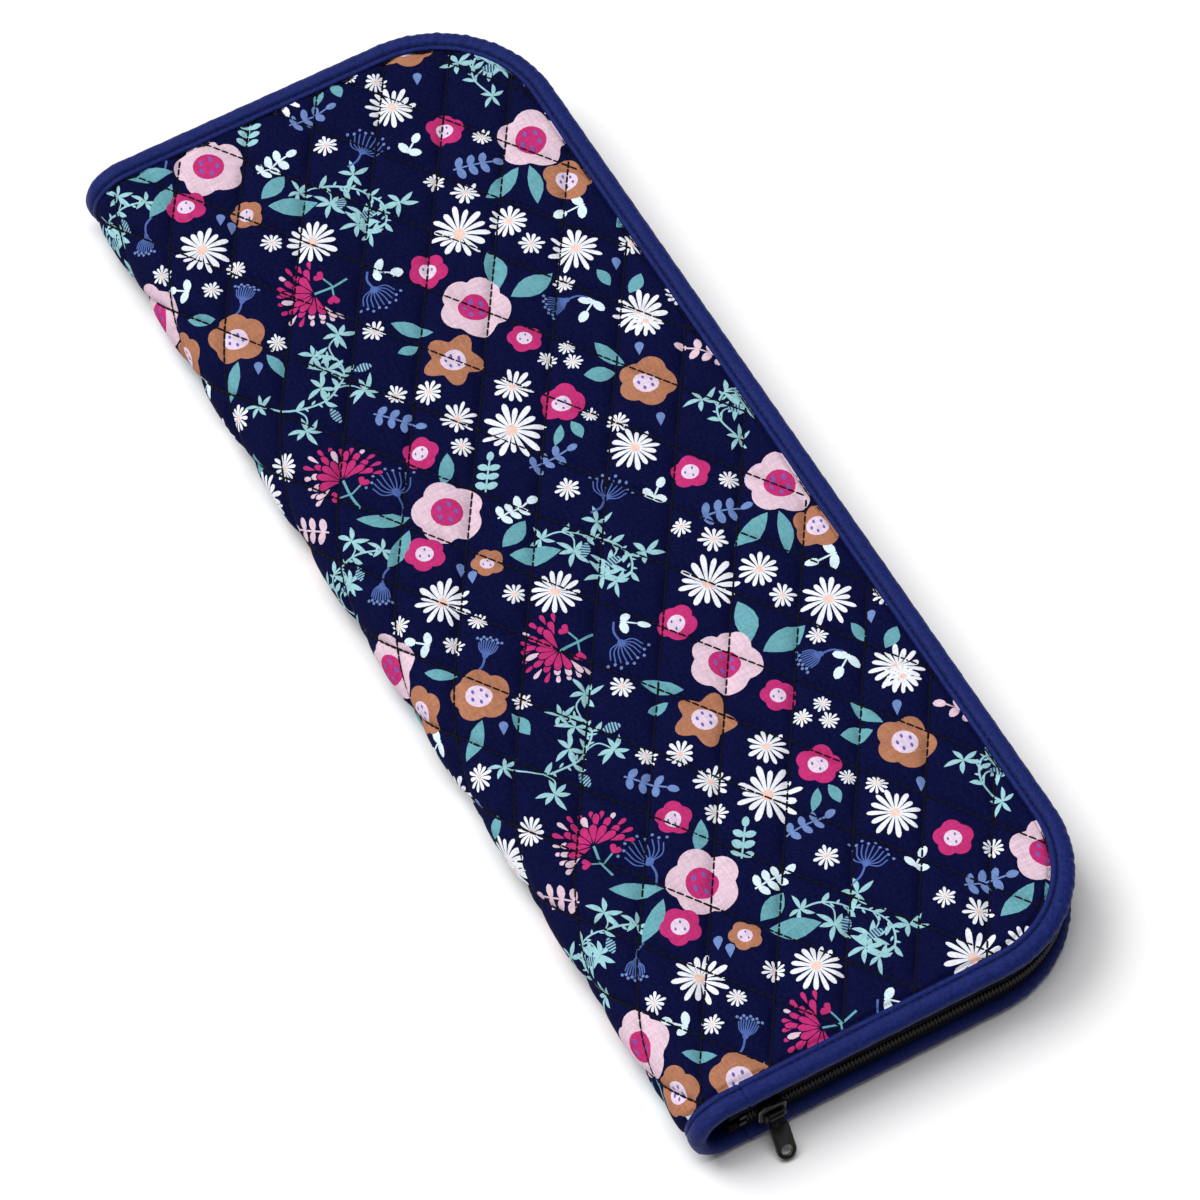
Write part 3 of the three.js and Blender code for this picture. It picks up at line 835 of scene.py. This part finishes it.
def triangulated(outlines, points):
    """Triangles inside the first outline: places, corners, topmost outline over each."""
    rings = [anticlockwise(outline) for outline in outlines]
    starts = np.cumsum([0] + [len(ring) for ring in rings])
    faces = [list(range(*ends)) for ends in zip(starts, starts[1:])]
    flat = [Vector(v) for v in np.vstack([*rings, points]).tolist()]
    places, _, triangles, _, _, owners = delaunay_2d_cdt(flat, [], faces, INSIDE, 1e-4, True)
    inner = [k for k, outlines_over in enumerate(owners) if 0 in outlines_over]
    used, corners = np.unique(np.array([triangles[k] for k in inner]), return_inverse=True)
    places = np.array([places[k][:] for k in used])
    return places, corners.reshape(-1, 3), [max(owners[k]) for k in inner]


def wrapped_sheet(name, outlines, colours, points, depth_of, outward, materials):
    """Sheet laid out flat, then wrapped round the case, facing outward (1) or inward (-1)."""
    places, triangles, owners = triangulated(outlines, points)
    x, c = places.T
    co = on_case(x, c, depth_of(x, c))
    normals = outward * normals_on_case(x, c, depth_of)
    a, b, d = triangles[0]
    if np.cross(co[b] - co[a], co[d] - co[a]) @ normals[a] < 0:
        triangles = triangles[:, ::-1]
    return make_mesh(name, co, triangles, materials, uv=places / UV_MM, normals=normals,
                     face_material=[colours[owner] for owner in owners])


def printed(side, shapes):
    """Outlines and colours of the cloth of one cover and of all the print on it."""
    outlines, colours = [cover_outline(CLOTH_INSET, side, 1.4)], [COLOUR_ORDER.index("ground")]
    for i in REPEATS_ALONG:
        for j in REPEATS_ACROSS:
            shift = REPEAT[0] * i + REPEAT[1] * j
            for shape, colour in shapes:
                moved = shape + shift
                reach = side * moved[:, 1]
                if reach.max() < -0.5 or reach.min() > EDGE_C - CLOTH_INSET:
                    continue
                if inset_of(*moved.T).max() < CLOTH_INSET:
                    continue
                outlines.append(moved)
                colours.append(COLOUR_ORDER.index(colour))
    return outlines, colours


def quilted_cover(side, name, shapes, points):
    """Outer cloth of one cover, with its print and quilting, as far as the spine's middle."""
    inside = (inset_of(*points.T) > CLOTH_INSET + 0.4) & (side * points[:, 1] > 0.4)
    rows = [points[inside]]
    for inset in SEAM_ROWS:
        x, c = inward(np.arange(2.0, OUTLINE_LENGTH - 2.0, 1.3), inset)
        rows.append(np.column_stack([x, side * c]))
    return wrapped_sheet(name, *printed(side, shapes), np.vstack(rows), cloth_depth, 1, print_materials)


def quilt_threads(side, name):
    """Lock stitches along both families of quilting lines."""
    reach = np.hypot(HALF_L, EDGE_C)
    t = np.arange(-reach, reach, QUILT_STITCH_PITCH)
    centres, ways, ups = [], [], []
    for n, shift, pitch in QUILT_LINES:
        way = sideways(np.array(n))
        count = math.ceil((reach + shift) / pitch)
        for k in range(-count, count + 1):
            p = np.array(n) * (k * pitch - shift) + t[:, None] * way + way * (0.7 * (k % 3))
            p = p[(inset_of(*p.T) > BINDING_WIDTH + 1.2) & (side * p[:, 1] > 1.3)]
            if not len(p):
                continue
            depth = cloth_depth(*p.T) - 0.10
            centres.append(on_case(*p.T, depth))
            ways.append(unit(on_case(*(p + way * 0.5).T, depth) - on_case(*(p - way * 0.5).T, depth)))
            ups.append(normals_on_case(*p.T, lambda u, v: 0.5 + 0 * u))
    return threads(name, np.vstack(centres), np.vstack(ways), np.vstack(ups), QUILT_STITCH, QUILT_THREAD_AND_SHADE_R,
                   black_thread, sink=0.2)


# ---------------------------------------------------------------------- binding
# folded tape in section, as (inset, depth): over the cloth, round the edge and back
BINDING_SECTION = np.array([
    (7.8, 1.95), (7.7, 1.40), (7.3, 1.05), (6.5, 1.00), (6.0, 1.20), (5.7, 1.55), (5.4, 1.10), (5.0, 0.70),
    (4.2, 0.52), (3.1, 0.50), (2.1, 0.62), (1.2, 0.98), (0.5, 1.60), (0.1, 2.40), (0.0, 3.20),
    (0.1, 4.00), (0.5, 4.80), (1.2, 5.35), (2.2, 5.68), (3.6, 5.80), (5.4, 5.78), (7.0, 5.66),
    (7.7, 5.45), (7.8, 5.10), (6.5, 4.98), (3.0, 4.95), (1.3, 4.3), (1.0, 3.2), (1.3, 2.2), (3.2, 1.85),
    (6.0, 1.9),
])
BINDING_SIDES = np.linalg.norm(np.roll(BINDING_SECTION, -1, 0) - BINDING_SECTION, axis=1)
BINDING_GIRTH = np.cumsum([0, *BINDING_SIDES])
JOIN_S = 28.0          # where the two ends of the binding meet, past the spine


def binding_ripple(s, k):
    """How far the tape stands out at distance s and section point k."""
    outer = np.exp(-((k - 11) / 8.0) ** 2)
    gather = corner_share(s)
    slant = 0.55 * k
    fine = np.sin(TAU * s / 3.4 + slant) * 0.6 + np.sin(TAU * s / 5.3 + 0.7 * slant + 1) * 0.4
    broad = np.sin(TAU * s / 11.0 + 0.3 * k + 1.1 * np.sin(s / 31.0))
    lift = outer * ((0.05 + 0.18 * gather) * fine + 0.06 * broad)
    from_join = s - JOIN_S
    lap = 0.28 * np.clip(1 - from_join / 9.0, 0, 1) * (from_join > 0)
    groove = -0.35 * np.exp(-(from_join / 0.45) ** 2)
    return lift + (lap + groove) * (outer > 0.15)


def binding(side, name):
    """Bias tape folded over the edge of one cover, with a lapped join."""
    step = 0.9
    s = np.append(np.arange(0, OUTLINE_LENGTH - step, step), OUTLINE_LENGTH)
    s = np.unique(np.concatenate([s, JOIN_S + np.array([-0.7, -0.35, 0, 0.35, 0.7])]))
    out = ring_normals(BINDING_SECTION)
    rings = []
    for k, (inset, depth) in enumerate(BINDING_SECTION):
        lift = binding_ripple(s, k)
        rings.append(at_edge(s, inset + out[k, 0] * lift, np.maximum(depth + out[k, 1] * lift, 0.05), side))
    return swept(name, rings, s, BINDING_GIRTH[:-1], binding_material, side < 0)


def edge_threads(side, name, inset, depth):
    """One row of stitches along the edge of a cover."""
    s = np.arange(2.0, OUTLINE_LENGTH - 2.0, EDGE_STITCH_PITCH)
    centres = at_edge(s, inset, depth, side)
    ways = unit(at_edge(s + 0.3, inset, depth, side) - at_edge(s - 0.3, inset, depth, side))
    ups = unit(at_edge(s, inset, depth - 0.5, side) - centres)
    return threads(name, centres, ways, ups, EDGE_STITCH, EDGE_THREAD_R, navy_thread)


# ----------------------------------------------------------------------- inside
def lining_depth(x, c):
    """Depth of the lining, with the slow waves of a loose cloth."""
    wave = 0.10 * np.sin(x / 14.0 + 1.1 * np.sin(c / 21.0)) * np.cos(c / 16.0)
    return LINING_DEPTH + 0.1 + wave


def lining(side, name):
    """Inner cloth of one cover, as far as the spine's middle."""
    gx = np.arange(-HALF_L, HALF_L, 3.0)
    gc = side * np.concatenate([np.arange(1.2, ARC_C, 1.4), np.arange(ARC_C, EDGE_C, 3.0)])
    points = np.stack(np.meshgrid(gx, gc), -1).reshape(-1, 2)
    points = points[inset_of(*points.T) > LINING_INSET + 0.8]
    return wrapped_sheet(name, [cover_outline(LINING_INSET, side, 3.0)], [0], points, lining_depth, -1,
                         [lining_material])


def slab(name, low, high, top_of, bottom_of, step, material, reshaped=None):
    """Thin sheet with thickness over a rectangle of the plan, from two heights."""
    nx, ny = (max(2, int((high[k] - low[k]) / step[k]) + 1) for k in (0, 1))
    gx, gy = np.meshgrid(np.linspace(low.x, high.x, nx), np.linspace(low.y, high.y, ny), indexing="ij")
    if reshaped:
        gx, gy = reshaped(gx, gy)
    plan = np.stack([gx, gy], -1).reshape(-1, 2)
    heights = [height_of(gx, gy).reshape(-1, 1) for height_of in (top_of, bottom_of)]
    points = np.vstack([np.hstack([plan, height]) for height in heights]) / MM
    count = nx * ny
    faces = grid_faces(nx, ny).tolist() + (grid_faces(nx, ny, flip=True) + count).tolist()
    edge = [(i, 0) for i in range(nx)] + [(nx - 1, j) for j in range(1, ny)]
    edge += [(i, ny - 1) for i in range(nx - 2, -1, -1)] + [(0, j) for j in range(ny - 2, 0, -1)]
    ids = [i * ny + j for i, j in edge]
    for a, b in zip(ids, ids[1:] + ids[:1]):
        faces.append([b, a, a + count, b + count])
    return make_mesh(name, points, faces, [material], uv=np.vstack([plan, plan]) / UV_MM)


ELASTIC_LOOP = 12.0            # distance between the rows that sew an elastic band down
ELASTIC_RISE = 1.1
ELASTIC_THICKNESS = 0.7


def elastic_band(node):
    """Elastic sewn down every few needles, so that it stands up in low loops."""
    low, high = box_mm(node)

    def bottom(gx, gy):
        share = np.abs(np.sin(np.pi * (gy - low.y) / ELASTIC_LOOP))
        ends = np.clip(np.minimum(gy - low.y, high.y - gy) / 6.0, 0, 1)
        return low.z + 0.1 + ELASTIC_RISE * share ** 0.7 * ends

    return slab(f"{node}_loops", low, high, lambda gx, gy: bottom(gx, gy) + ELASTIC_THICKNESS, bottom,
                (2.5, 0.8), elastic_material)


POCKET_CORNER_R = 34


def pocket():
    """Slip pocket: flat panel with both lower corners rounded, its mouth a little open."""
    low, high = box_mm("pocket_panel")

    def rounded(gx, gy):
        half = (high.x - low.x) / 2
        share = np.clip((low.y + POCKET_CORNER_R - gy) / POCKET_CORNER_R, 0, 1)
        reach = half - POCKET_CORNER_R + POCKET_CORNER_R * np.sqrt(np.maximum(1 - share ** 2, 0.0004))
        return gx * reach / half, gy

    def bottom(gx, gy):
        return low.z + 0.1 - 0.35 * np.exp(-((gy - high.y + 9) / 16) ** 2) * np.cos(gx / 26) ** 2

    return slab("pocket_cloth", low, high, lambda gx, gy: high.z - 0.05 + 0 * gx, bottom,
                (3.0, 2.0), lining_material, rounded)


def pocket_hem():
    """Rounded tape over the pocket's mouth."""
    low, high = box_mm("pocket_hem")
    middle = (low.z + high.z) / 2

    def half_thickness(gy):
        share = (gy - low.y) / (high.y - low.y) * 2 - 1
        return 0.45 * np.sqrt(np.maximum(1 - share ** 4, 0))

    return slab("pocket_hem_tape", low, high, lambda gx, gy: middle + half_thickness(gy),
                lambda gx, gy: middle - half_thickness(gy), (3.0, 0.5), binding_material)


# -------------------------------------------------------------------------- zip
ZIP_Z = HEIGHT / 2
tape_low, tape_high = box_mm("zip_tape_upper")
TAPE_INSET = HALF_L - tape_high.x
TAPE_BELLY = 0.55
TAPE_LEAN = 0.5
TAPE_THICKNESS = 0.5
TAPE_ROWS = 9                  # points across the tape on each of its two sides
COIL_PITCH = 1.3
COIL_INSET = 2.0
COIL_END_Y = 57.5
COIL_LEAN = 0.10
COIL_LENGTH = 2.9
COIL_OFF_MIDDLE = 0.75         # how far each half of the coil sits from the zip's middle
COIL_R = 0.42


def s_at_y(y):
    """Outline distance at that y on the straight short edge with the zip pull."""
    return ARC_C + ARC_Y - y


TAPE_FROM = s_at_y(tape_high.y - 7)
TAPE_TO = OUTLINE_LENGTH - TAPE_FROM


def zip_tape(side, name):
    """Tape with a slight outward belly between the binding and the coil."""
    s = np.linspace(TAPE_FROM, TAPE_TO, 420)
    heights = np.linspace(tape_high.z, tape_low.z, TAPE_ROWS)
    share = np.linspace(0, 1, TAPE_ROWS)
    inset = TAPE_INSET + 0.1 - TAPE_BELLY * np.sin(np.pi * share) - TAPE_LEAN * share
    section = [*zip(inset, heights), *zip((inset + TAPE_THICKNESS)[::-1], heights[::-1])]
    rings = []
    for k, (depth, z) in enumerate(section):
        row = min(k, len(section) - 1 - k)
        sway = 0.18 * np.sin(s / 9.0 + k * 0.2) * math.sin(math.pi * row / (TAPE_ROWS - 1))
        rings.append(at_wall(s, depth + sway, z if side > 0 else HEIGHT - z))
    return swept(name, rings, s, [z for _, z in section], tape_material, side < 0)


def zip_coil(side, name):
    """Coil turns standing out of the tape's edge, meshed with the other side's."""
    start = s_at_y(COIL_END_Y)
    s = np.arange(start, OUTLINE_LENGTH - start, COIL_PITCH) + (COIL_PITCH / 2 if side > 0 else 0)
    centres = at_wall(s, COIL_INSET, ZIP_Z + side * COIL_OFF_MIDDLE)
    _, _, nx, nc = outline(s)
    ways = unit(np.stack([nc * COIL_LEAN * side, nx * COIL_LEAN * side, np.ones_like(s)], -1))
    ups = np.stack([-nx, nc, np.zeros_like(s)], -1)
    return threads(name, centres, ways, ups, COIL_LENGTH, COIL_R, nylon_material, sides=6, sink=0.12)


# --------------------------------------------------------------- slider and pull
ENAMEL, WORN_AND_HIGHLIGHT, BRASS_AND_GLINT = 0, 1, 2
METALS = (enamel_material, worn_and_highlight_material, brass_and_glint_material)


def moved_in(ring, centre, by):
    """The ring with each of its points that much nearer to the centre."""
    return ring + unit(centre - ring) * by


def rim(ring, slim, low, high, bevel, to_space, wall=ENAMEL):
    """Edge of a plate: a wall between two chamfers that end on the slim ring; the chamfers are worn metal
    and a painted highlight.
    """
    levels = ((slim, low), (ring, low + bevel), (ring, high - bevel), (slim, high))
    points = np.stack([to_space(q, h) for q, h in levels]).reshape(-1, 3)
    count = len(ring)
    metal = [WORN_AND_HIGHLIGHT] * count + [wall] * count + [WORN_AND_HIGHLIGHT] * count
    return points, grid_faces(4, count, True).tolist(), metal


def plate(ring, low, high, bevel, to_space):
    """Flat plate with rounded rims, as points, faces and the metal of each face."""
    ring = np.asarray(ring, float)
    points, faces, metal = rim(ring, moved_in(ring, ring.mean(0), bevel), low, high, bevel, to_space)
    count = len(ring)
    faces += [list(range(count)), list(range(3 * count, 4 * count))[::-1]]
    return points, faces, metal + [ENAMEL, ENAMEL]


def bar(start, end, radius, sides=14):
    """Round bar along y, with closed ends."""
    a = np.arange(sides) / sides * TAU
    ring = radius * np.column_stack([np.cos(a), 0 * a, -np.sin(a)])
    points = np.vstack([ring + start, ring + end]) / MM
    faces = tube_faces(2, sides)
    return points, faces, [ENAMEL] * len(faces)


def merged(name, parts):
    """One piece of metalwork out of several (points, faces, metal of each face)."""
    points, faces, metal = [], [], []
    count = 0
    for part_points, part_faces, part_metal in parts:
        points.append(part_points)
        faces += [[v + count for v in face] for face in part_faces]
        metal += part_metal
        count += len(part_points)
    made = make_mesh(name, np.vstack(points), faces, METALS, face_material=metal)
    bpy.context.view_layer.objects.active = made
    made.select_set(True)
    bpy.ops.object.mode_set(mode="EDIT")
    bpy.ops.mesh.select_all(action="SELECT")
    bpy.ops.mesh.normals_make_consistent(inside=False)
    bpy.ops.object.mode_set(mode="OBJECT")
    made.select_set(False)
    made.data.set_sharp_from_angle(angle=math.radians(48))
    return made


slider_low, slider_high = box_mm("zip_slider")
SLIDER_Y = (slider_low.y + slider_high.y) / 2
SLIDER_HALF = (slider_high.y - slider_low.y) / 2
SLIDER_HALF_WIDTH = (slider_high.z - slider_low.z) / 2
SLIDER_TAPER = 1.3             # how much narrower each side is at the tail
SHOULDER_R = 2.2
TAIL_R = 1.6
PLATE_GAP = 4.6                # from the outer plate to the inner one
RAIL_Z = 3.1
LUG_Y = 3.25
BRIDGE_HALF = 3.3
BRIDGE_R = 0.7
PIN = next(j for j in frame["joints"] if j["name"] == "pull_swing")["pos_m"][0] * MM


def slider_outline(steps=7):
    """Slider body seen from outside: wide shoulders, waist, narrower tail."""
    tail = SLIDER_HALF_WIDTH - SLIDER_TAPER
    right = []
    for a in np.linspace(math.pi / 2, 0, steps):
        right.append((SLIDER_HALF - SHOULDER_R + SHOULDER_R * math.sin(a),
                      SLIDER_HALF_WIDTH - SHOULDER_R + SHOULDER_R * math.cos(a)))
    right += [(1.2, SLIDER_HALF_WIDTH - 0.15), (-0.6, tail + 0.45), (-2.6, tail + 0.05)]
    for a in np.linspace(0, math.pi / 2, steps):
        right.append((-SLIDER_HALF + TAIL_R - TAIL_R * math.sin(a), tail - TAIL_R + TAIL_R * math.cos(a)))
    left = [(y, -z) for y, z in right[::-1]]
    return right + left


def slider():
    """Zip slider: outer and inner plate with side walls, post and bridge."""
    face = -HALF_L

    def at(x):
        """Places a plate's outline q at height h, inward from that x."""
        return lambda q, h: np.column_stack([x + h + 0 * q[:, 0], q[:, 0] + SLIDER_Y, q[:, 1] + ZIP_Z]) / MM

    parts = [plate(slider_outline(), -0.55, 0.75, 0.32, at(face)),
             plate(slider_outline(), -0.5, 0.6, 0.3, at(face + PLATE_GAP))]
    for side in (-1, 1):
        rail = [(y, side * (RAIL_Z - 0.25 * (y < 0)) + w)
                for y, w in ((3.6, 0.35), (-4.2, 0.35), (-4.2, -0.35), (3.6, -0.35))]
        parts.append(plate(rail, 0.4, 1.35, 0.12, at(face)))
    back, front = SLIDER_HALF - 2.4, SLIDER_HALF - 0.3
    post = [(back, -0.6), (front, -0.7), (front, 0.7), (back, 0.6)]
    parts.append(plate(post, 0.2, PLATE_GAP, 0.1, at(face)))
    for y in (-LUG_Y, LUG_Y):
        lug = [(y - 0.5, -0.95), (y + 0.5, -0.95), (y + 0.5, 0.95), (y - 0.5, 0.95)]
        parts.append(plate(lug, PIN - 0.85, face, 0.22, at(0)))
    ends = [(PIN, SLIDER_Y + y, ZIP_Z) for y in (-BRIDGE_HALF, BRIDGE_HALF)]
    parts.append(bar(*ends, BRIDGE_R))
    return merged("slider_body", parts)


pull_low, pull_high = box_mm("zip_pull")
PULL_HALF = (pull_high.y - pull_low.y) / 2
PULL_TILT = math.radians(35)
PULL_LENGTH = 16.0
PULL_HALF_THICKNESS = 0.6
PULL_RIM = 0.22
PULL_MIDDLE = -8.5             # the height that the outline's chamfer slopes towards
NECK_HALF = 2.0
HOLE_R = 1.8
HOLE_Z = -12.7
EYE_R = 1.35
EYE_BORE_R = 0.82
EYE_HALF = 2.4
EYE_SIDES = 24


def pull_outline():
    """Tab seen from outside: a neck below the eye, sloping shoulders and a round end."""
    right = [(NECK_HALF, -0.9), (NECK_HALF, -2.2), (PULL_HALF - 0.5, -3.2), (PULL_HALF, -4.0)]
    left = [(-y, z) for y, z in right]
    end = [toward(0, PULL_HALF - PULL_LENGTH, a, PULL_HALF) for a in np.linspace(math.pi, TAU, 17)]
    return np.array(left + end + right[::-1])


def in_pull(q, t):
    """Points of the tilted tab at places q on it and that far through its thickness."""
    x = q[:, 1] * math.sin(PULL_TILT) + t * math.cos(PULL_TILT)
    z = q[:, 1] * math.cos(PULL_TILT) - t * math.sin(PULL_TILT)
    return np.column_stack([x + PIN, q[:, 0] + SLIDER_Y, z + ZIP_Z]) / MM


def pull_eye(circle):
    """Short tube round the slider's bridge, as points, faces and the metal of each face."""
    rings = []
    for r, y in ((EYE_R, -EYE_HALF), (EYE_R, EYE_HALF), (EYE_BORE_R, EYE_HALF), (EYE_BORE_R, -EYE_HALF)):
        x, z = (r * circle).T
        rings.append(np.column_stack([PIN + x, SLIDER_Y + y + 0 * x, ZIP_Z + z]) / MM)
    faces = (grid_faces(5, EYE_SIDES, True) % (4 * EYE_SIDES)).tolist()
    return np.vstack(rings), faces, [ENAMEL] * len(faces)


def pull():
    """Flat tab with a rolled eye and a hole, hanging from the slider's bridge."""
    turns = np.arange(EYE_SIDES) / EYE_SIDES * TAU
    circle = np.column_stack([np.cos(turns), np.sin(turns)])
    outer = pull_outline()
    hole = HOLE_R * circle + (0, HOLE_Z)
    outer_slim = moved_in(outer, np.array([0, PULL_MIDDLE]), PULL_RIM)
    hole_slim = moved_in(hole, np.array([0, HOLE_Z]), -PULL_RIM)
    flat = [Vector(v) for v in np.vstack([outer_slim, hole_slim]).tolist()]
    rings = [list(range(len(outer))), list(range(len(outer), len(flat)))]
    places, _, triangles, _, _, owners = delaunay_2d_cdt(flat, [], rings, INSIDE, 1e-5, True)
    plan = np.array([v[:] for v in places])
    around_hole = [face for face, rings_over in zip(triangles, owners) if 1 not in rings_over]
    low, high = -PULL_HALF_THICKNESS, PULL_HALF_THICKNESS
    parts = [(in_pull(plan, t), around_hole, [ENAMEL] * len(around_hole)) for t in (low, high)]
    parts.append(rim(outer, outer_slim, low, high, PULL_RIM, in_pull))
    # the hole's wall is brass, which also stands in for a painted glint in the hole
    parts.append(rim(hole, hole_slim, low, high, PULL_RIM, in_pull, BRASS_AND_GLINT))
    parts.append(pull_eye(circle))
    made = merged("pull_tab", parts)
    made.modifiers.new("weld", "WELD").merge_threshold = 0.00001
    bpy.context.view_layer.objects.active = made
    bpy.ops.object.modifier_apply(modifier="weld")
    return made


# --------------------------------------------------------------------- assembly
FOLDS = {1: ("spine", "front_cover"), -1: ("back_cover", "spine")}
FOLD_ANGLE = math.radians(45)  # where round the spine blend_over_fold works out its points
FOLD_SPREAD = 5.5


def blend_over_fold(piece, side):
    """Bakes the piece's transform into its mesh; works out two points about one edge of the spine, along
    the cloth's slope there, but does not bend the piece.
    """
    across, up = math.cos(FOLD_ANGLE), side * math.sin(FOLD_ANGLE)
    middle = Vector((0, ARC_Y + FOLD_R * across, FOLD_R + FOLD_R * up)) / MM
    way = Vector((0, -abs(up), side * across)) * FOLD_SPREAD / MM
    start, end = (middle - way, middle + way) if side > 0 else (middle + way, middle - way)
    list(FOLDS[side])
    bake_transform(piece)
    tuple(start)
    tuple(end)


def put(piece, body, slot, *nodes):
    """The piece rides on a body and replaces CAD nodes, which are hidden; slot is not used."""
    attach(piece, body)
    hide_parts(*nodes)


shapes = list(repeat_shapes())
points = lattice()
for side, cover, half in ((1, "front", "upper"), (-1, "back", "lower")):
    cloth = quilted_cover(side, f"{cover}_cloth", shapes, points)
    stitches = quilt_threads(side, f"{cover}_quilting")
    edging = binding(side, f"{cover}_edging")
    row = edge_threads(side, f"{cover}_edge_stitches", BINDING_STITCH_INSET, BINDING_THREAD_DEPTH)
    # dark stitches in the groove beside the binding: a seam, and also a painted shadow line along the
    # binding's inner edge
    seam_and_shadow_row = edge_threads(side, f"{cover}_seam_stitches_and_shadow_line", SEAM_INSET, SEAM_AND_SHADOW_THREAD_DEPTH)
    inner = lining(side, f"{cover}_lining_cloth")
    for piece in (cloth, stitches, edging, row, seam_and_shadow_row, inner):
        blend_over_fold(piece, side)
    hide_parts(f"{cover}_quilt", "spine_quilt")
    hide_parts(f"{cover}_binding", "spine_binding_near", "spine_binding_far")
    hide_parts(f"{cover}_lining", "spine_lining")
    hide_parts(f"{cover}_board")
    tape = zip_tape(side, f"tape_{half}")
    coil = zip_coil(side, f"coil_{half}")
    put(tape, f"{cover}_cover", "zip_tape", f"zip_tape_{half}")
    put(coil, f"{cover}_cover", "zip_coil", f"zip_coil_{half}")

for node in ("needle_band_near", "needle_band_far"):
    band = elastic_band(node)
    put(band, "back_cover", "black_elastic", node)
    low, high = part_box(node)

panel = pocket()
hem = pocket_hem()
put(panel, "front_cover", "lining_cloth", "pocket_panel")
put(hem, "front_cover", "navy_binding", "pocket_hem")
low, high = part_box("pocket_panel")

put(slider(), "slider", "slider_enamel", "zip_slider")
put(pull(), "pull", "pull_metal", "zip_pull")
for node in ("zip_top_stop_lower", "zip_top_stop_upper", "zip_bottom_stop"):
    stop = frame["nodes"][node]
    stop.data.materials.clear()
    stop.data.materials.append(enamel_material)


# ----------------------------------------------------------------- studio scene
FLOOR_HALF = 6.0
FLOOR_DROP = 0.0003            # just below the case, so that the two never share a plane
WORLD_STRENGTH = 0.18
CAMERA_PLACE = (-1.00464, 0.56359, 1.82487)
CAMERA_WAY = (0.4618, -0.2615, -0.8475)
LENS_MM = 199.1

paper = Nodes("floor_paper")
paper.set(Base_Color=linear((246, 246, 247)), Roughness=0.9, Specular_IOR_Level=0.1)
corners = [(x * FLOOR_HALF, y * FLOOR_HALF, 0) for x, y in ((-1, -1), (1, -1), (1, 1), (-1, 1))]
floor = make_mesh("floor", corners, [(0, 1, 2, 3)], [paper.material])
floor.location.z = -FLOOR_DROP

world = bpy.data.worlds.new("studio")
scene.world = world
world.use_nodes = True
backdrop = world.node_tree.nodes["Background"]
backdrop.inputs["Color"].default_value = (1.0, 1.0, 1.0, 1.0)
backdrop.inputs["Strength"].default_value = WORLD_STRENGTH


def aimed(name, data, way):
    """Lamp or camera that points that way."""
    made = linked(name, data)
    made.rotation_mode = "QUATERNION"
    made.rotation_quaternion = Vector(way).to_track_quat("-Z", "Y")
    return made


def soft_light(name, toward_light, spread, strength):
    """Even light from far away, that many degrees wide, like a big studio softbox."""
    data = bpy.data.lights.new(name, "SUN")
    data.angle = math.radians(spread)
    data.energy = strength
    aimed(name, data, -Vector(toward_light))


soft_light("key", (1.0, 0.8, 1.8), 36, 2.4)
soft_light("top", (0.1, 0.1, 2.4), 30, 1.25)

camera_data = bpy.data.cameras.new("camera")
camera_data.sensor_width = 36
camera_data.lens = LENS_MM
camera_data.clip_end = 20
scene.camera = aimed("camera", camera_data, CAMERA_WAY)
scene.camera.location = CAMERA_PLACE
scene.view_settings.view_transform = "Standard"
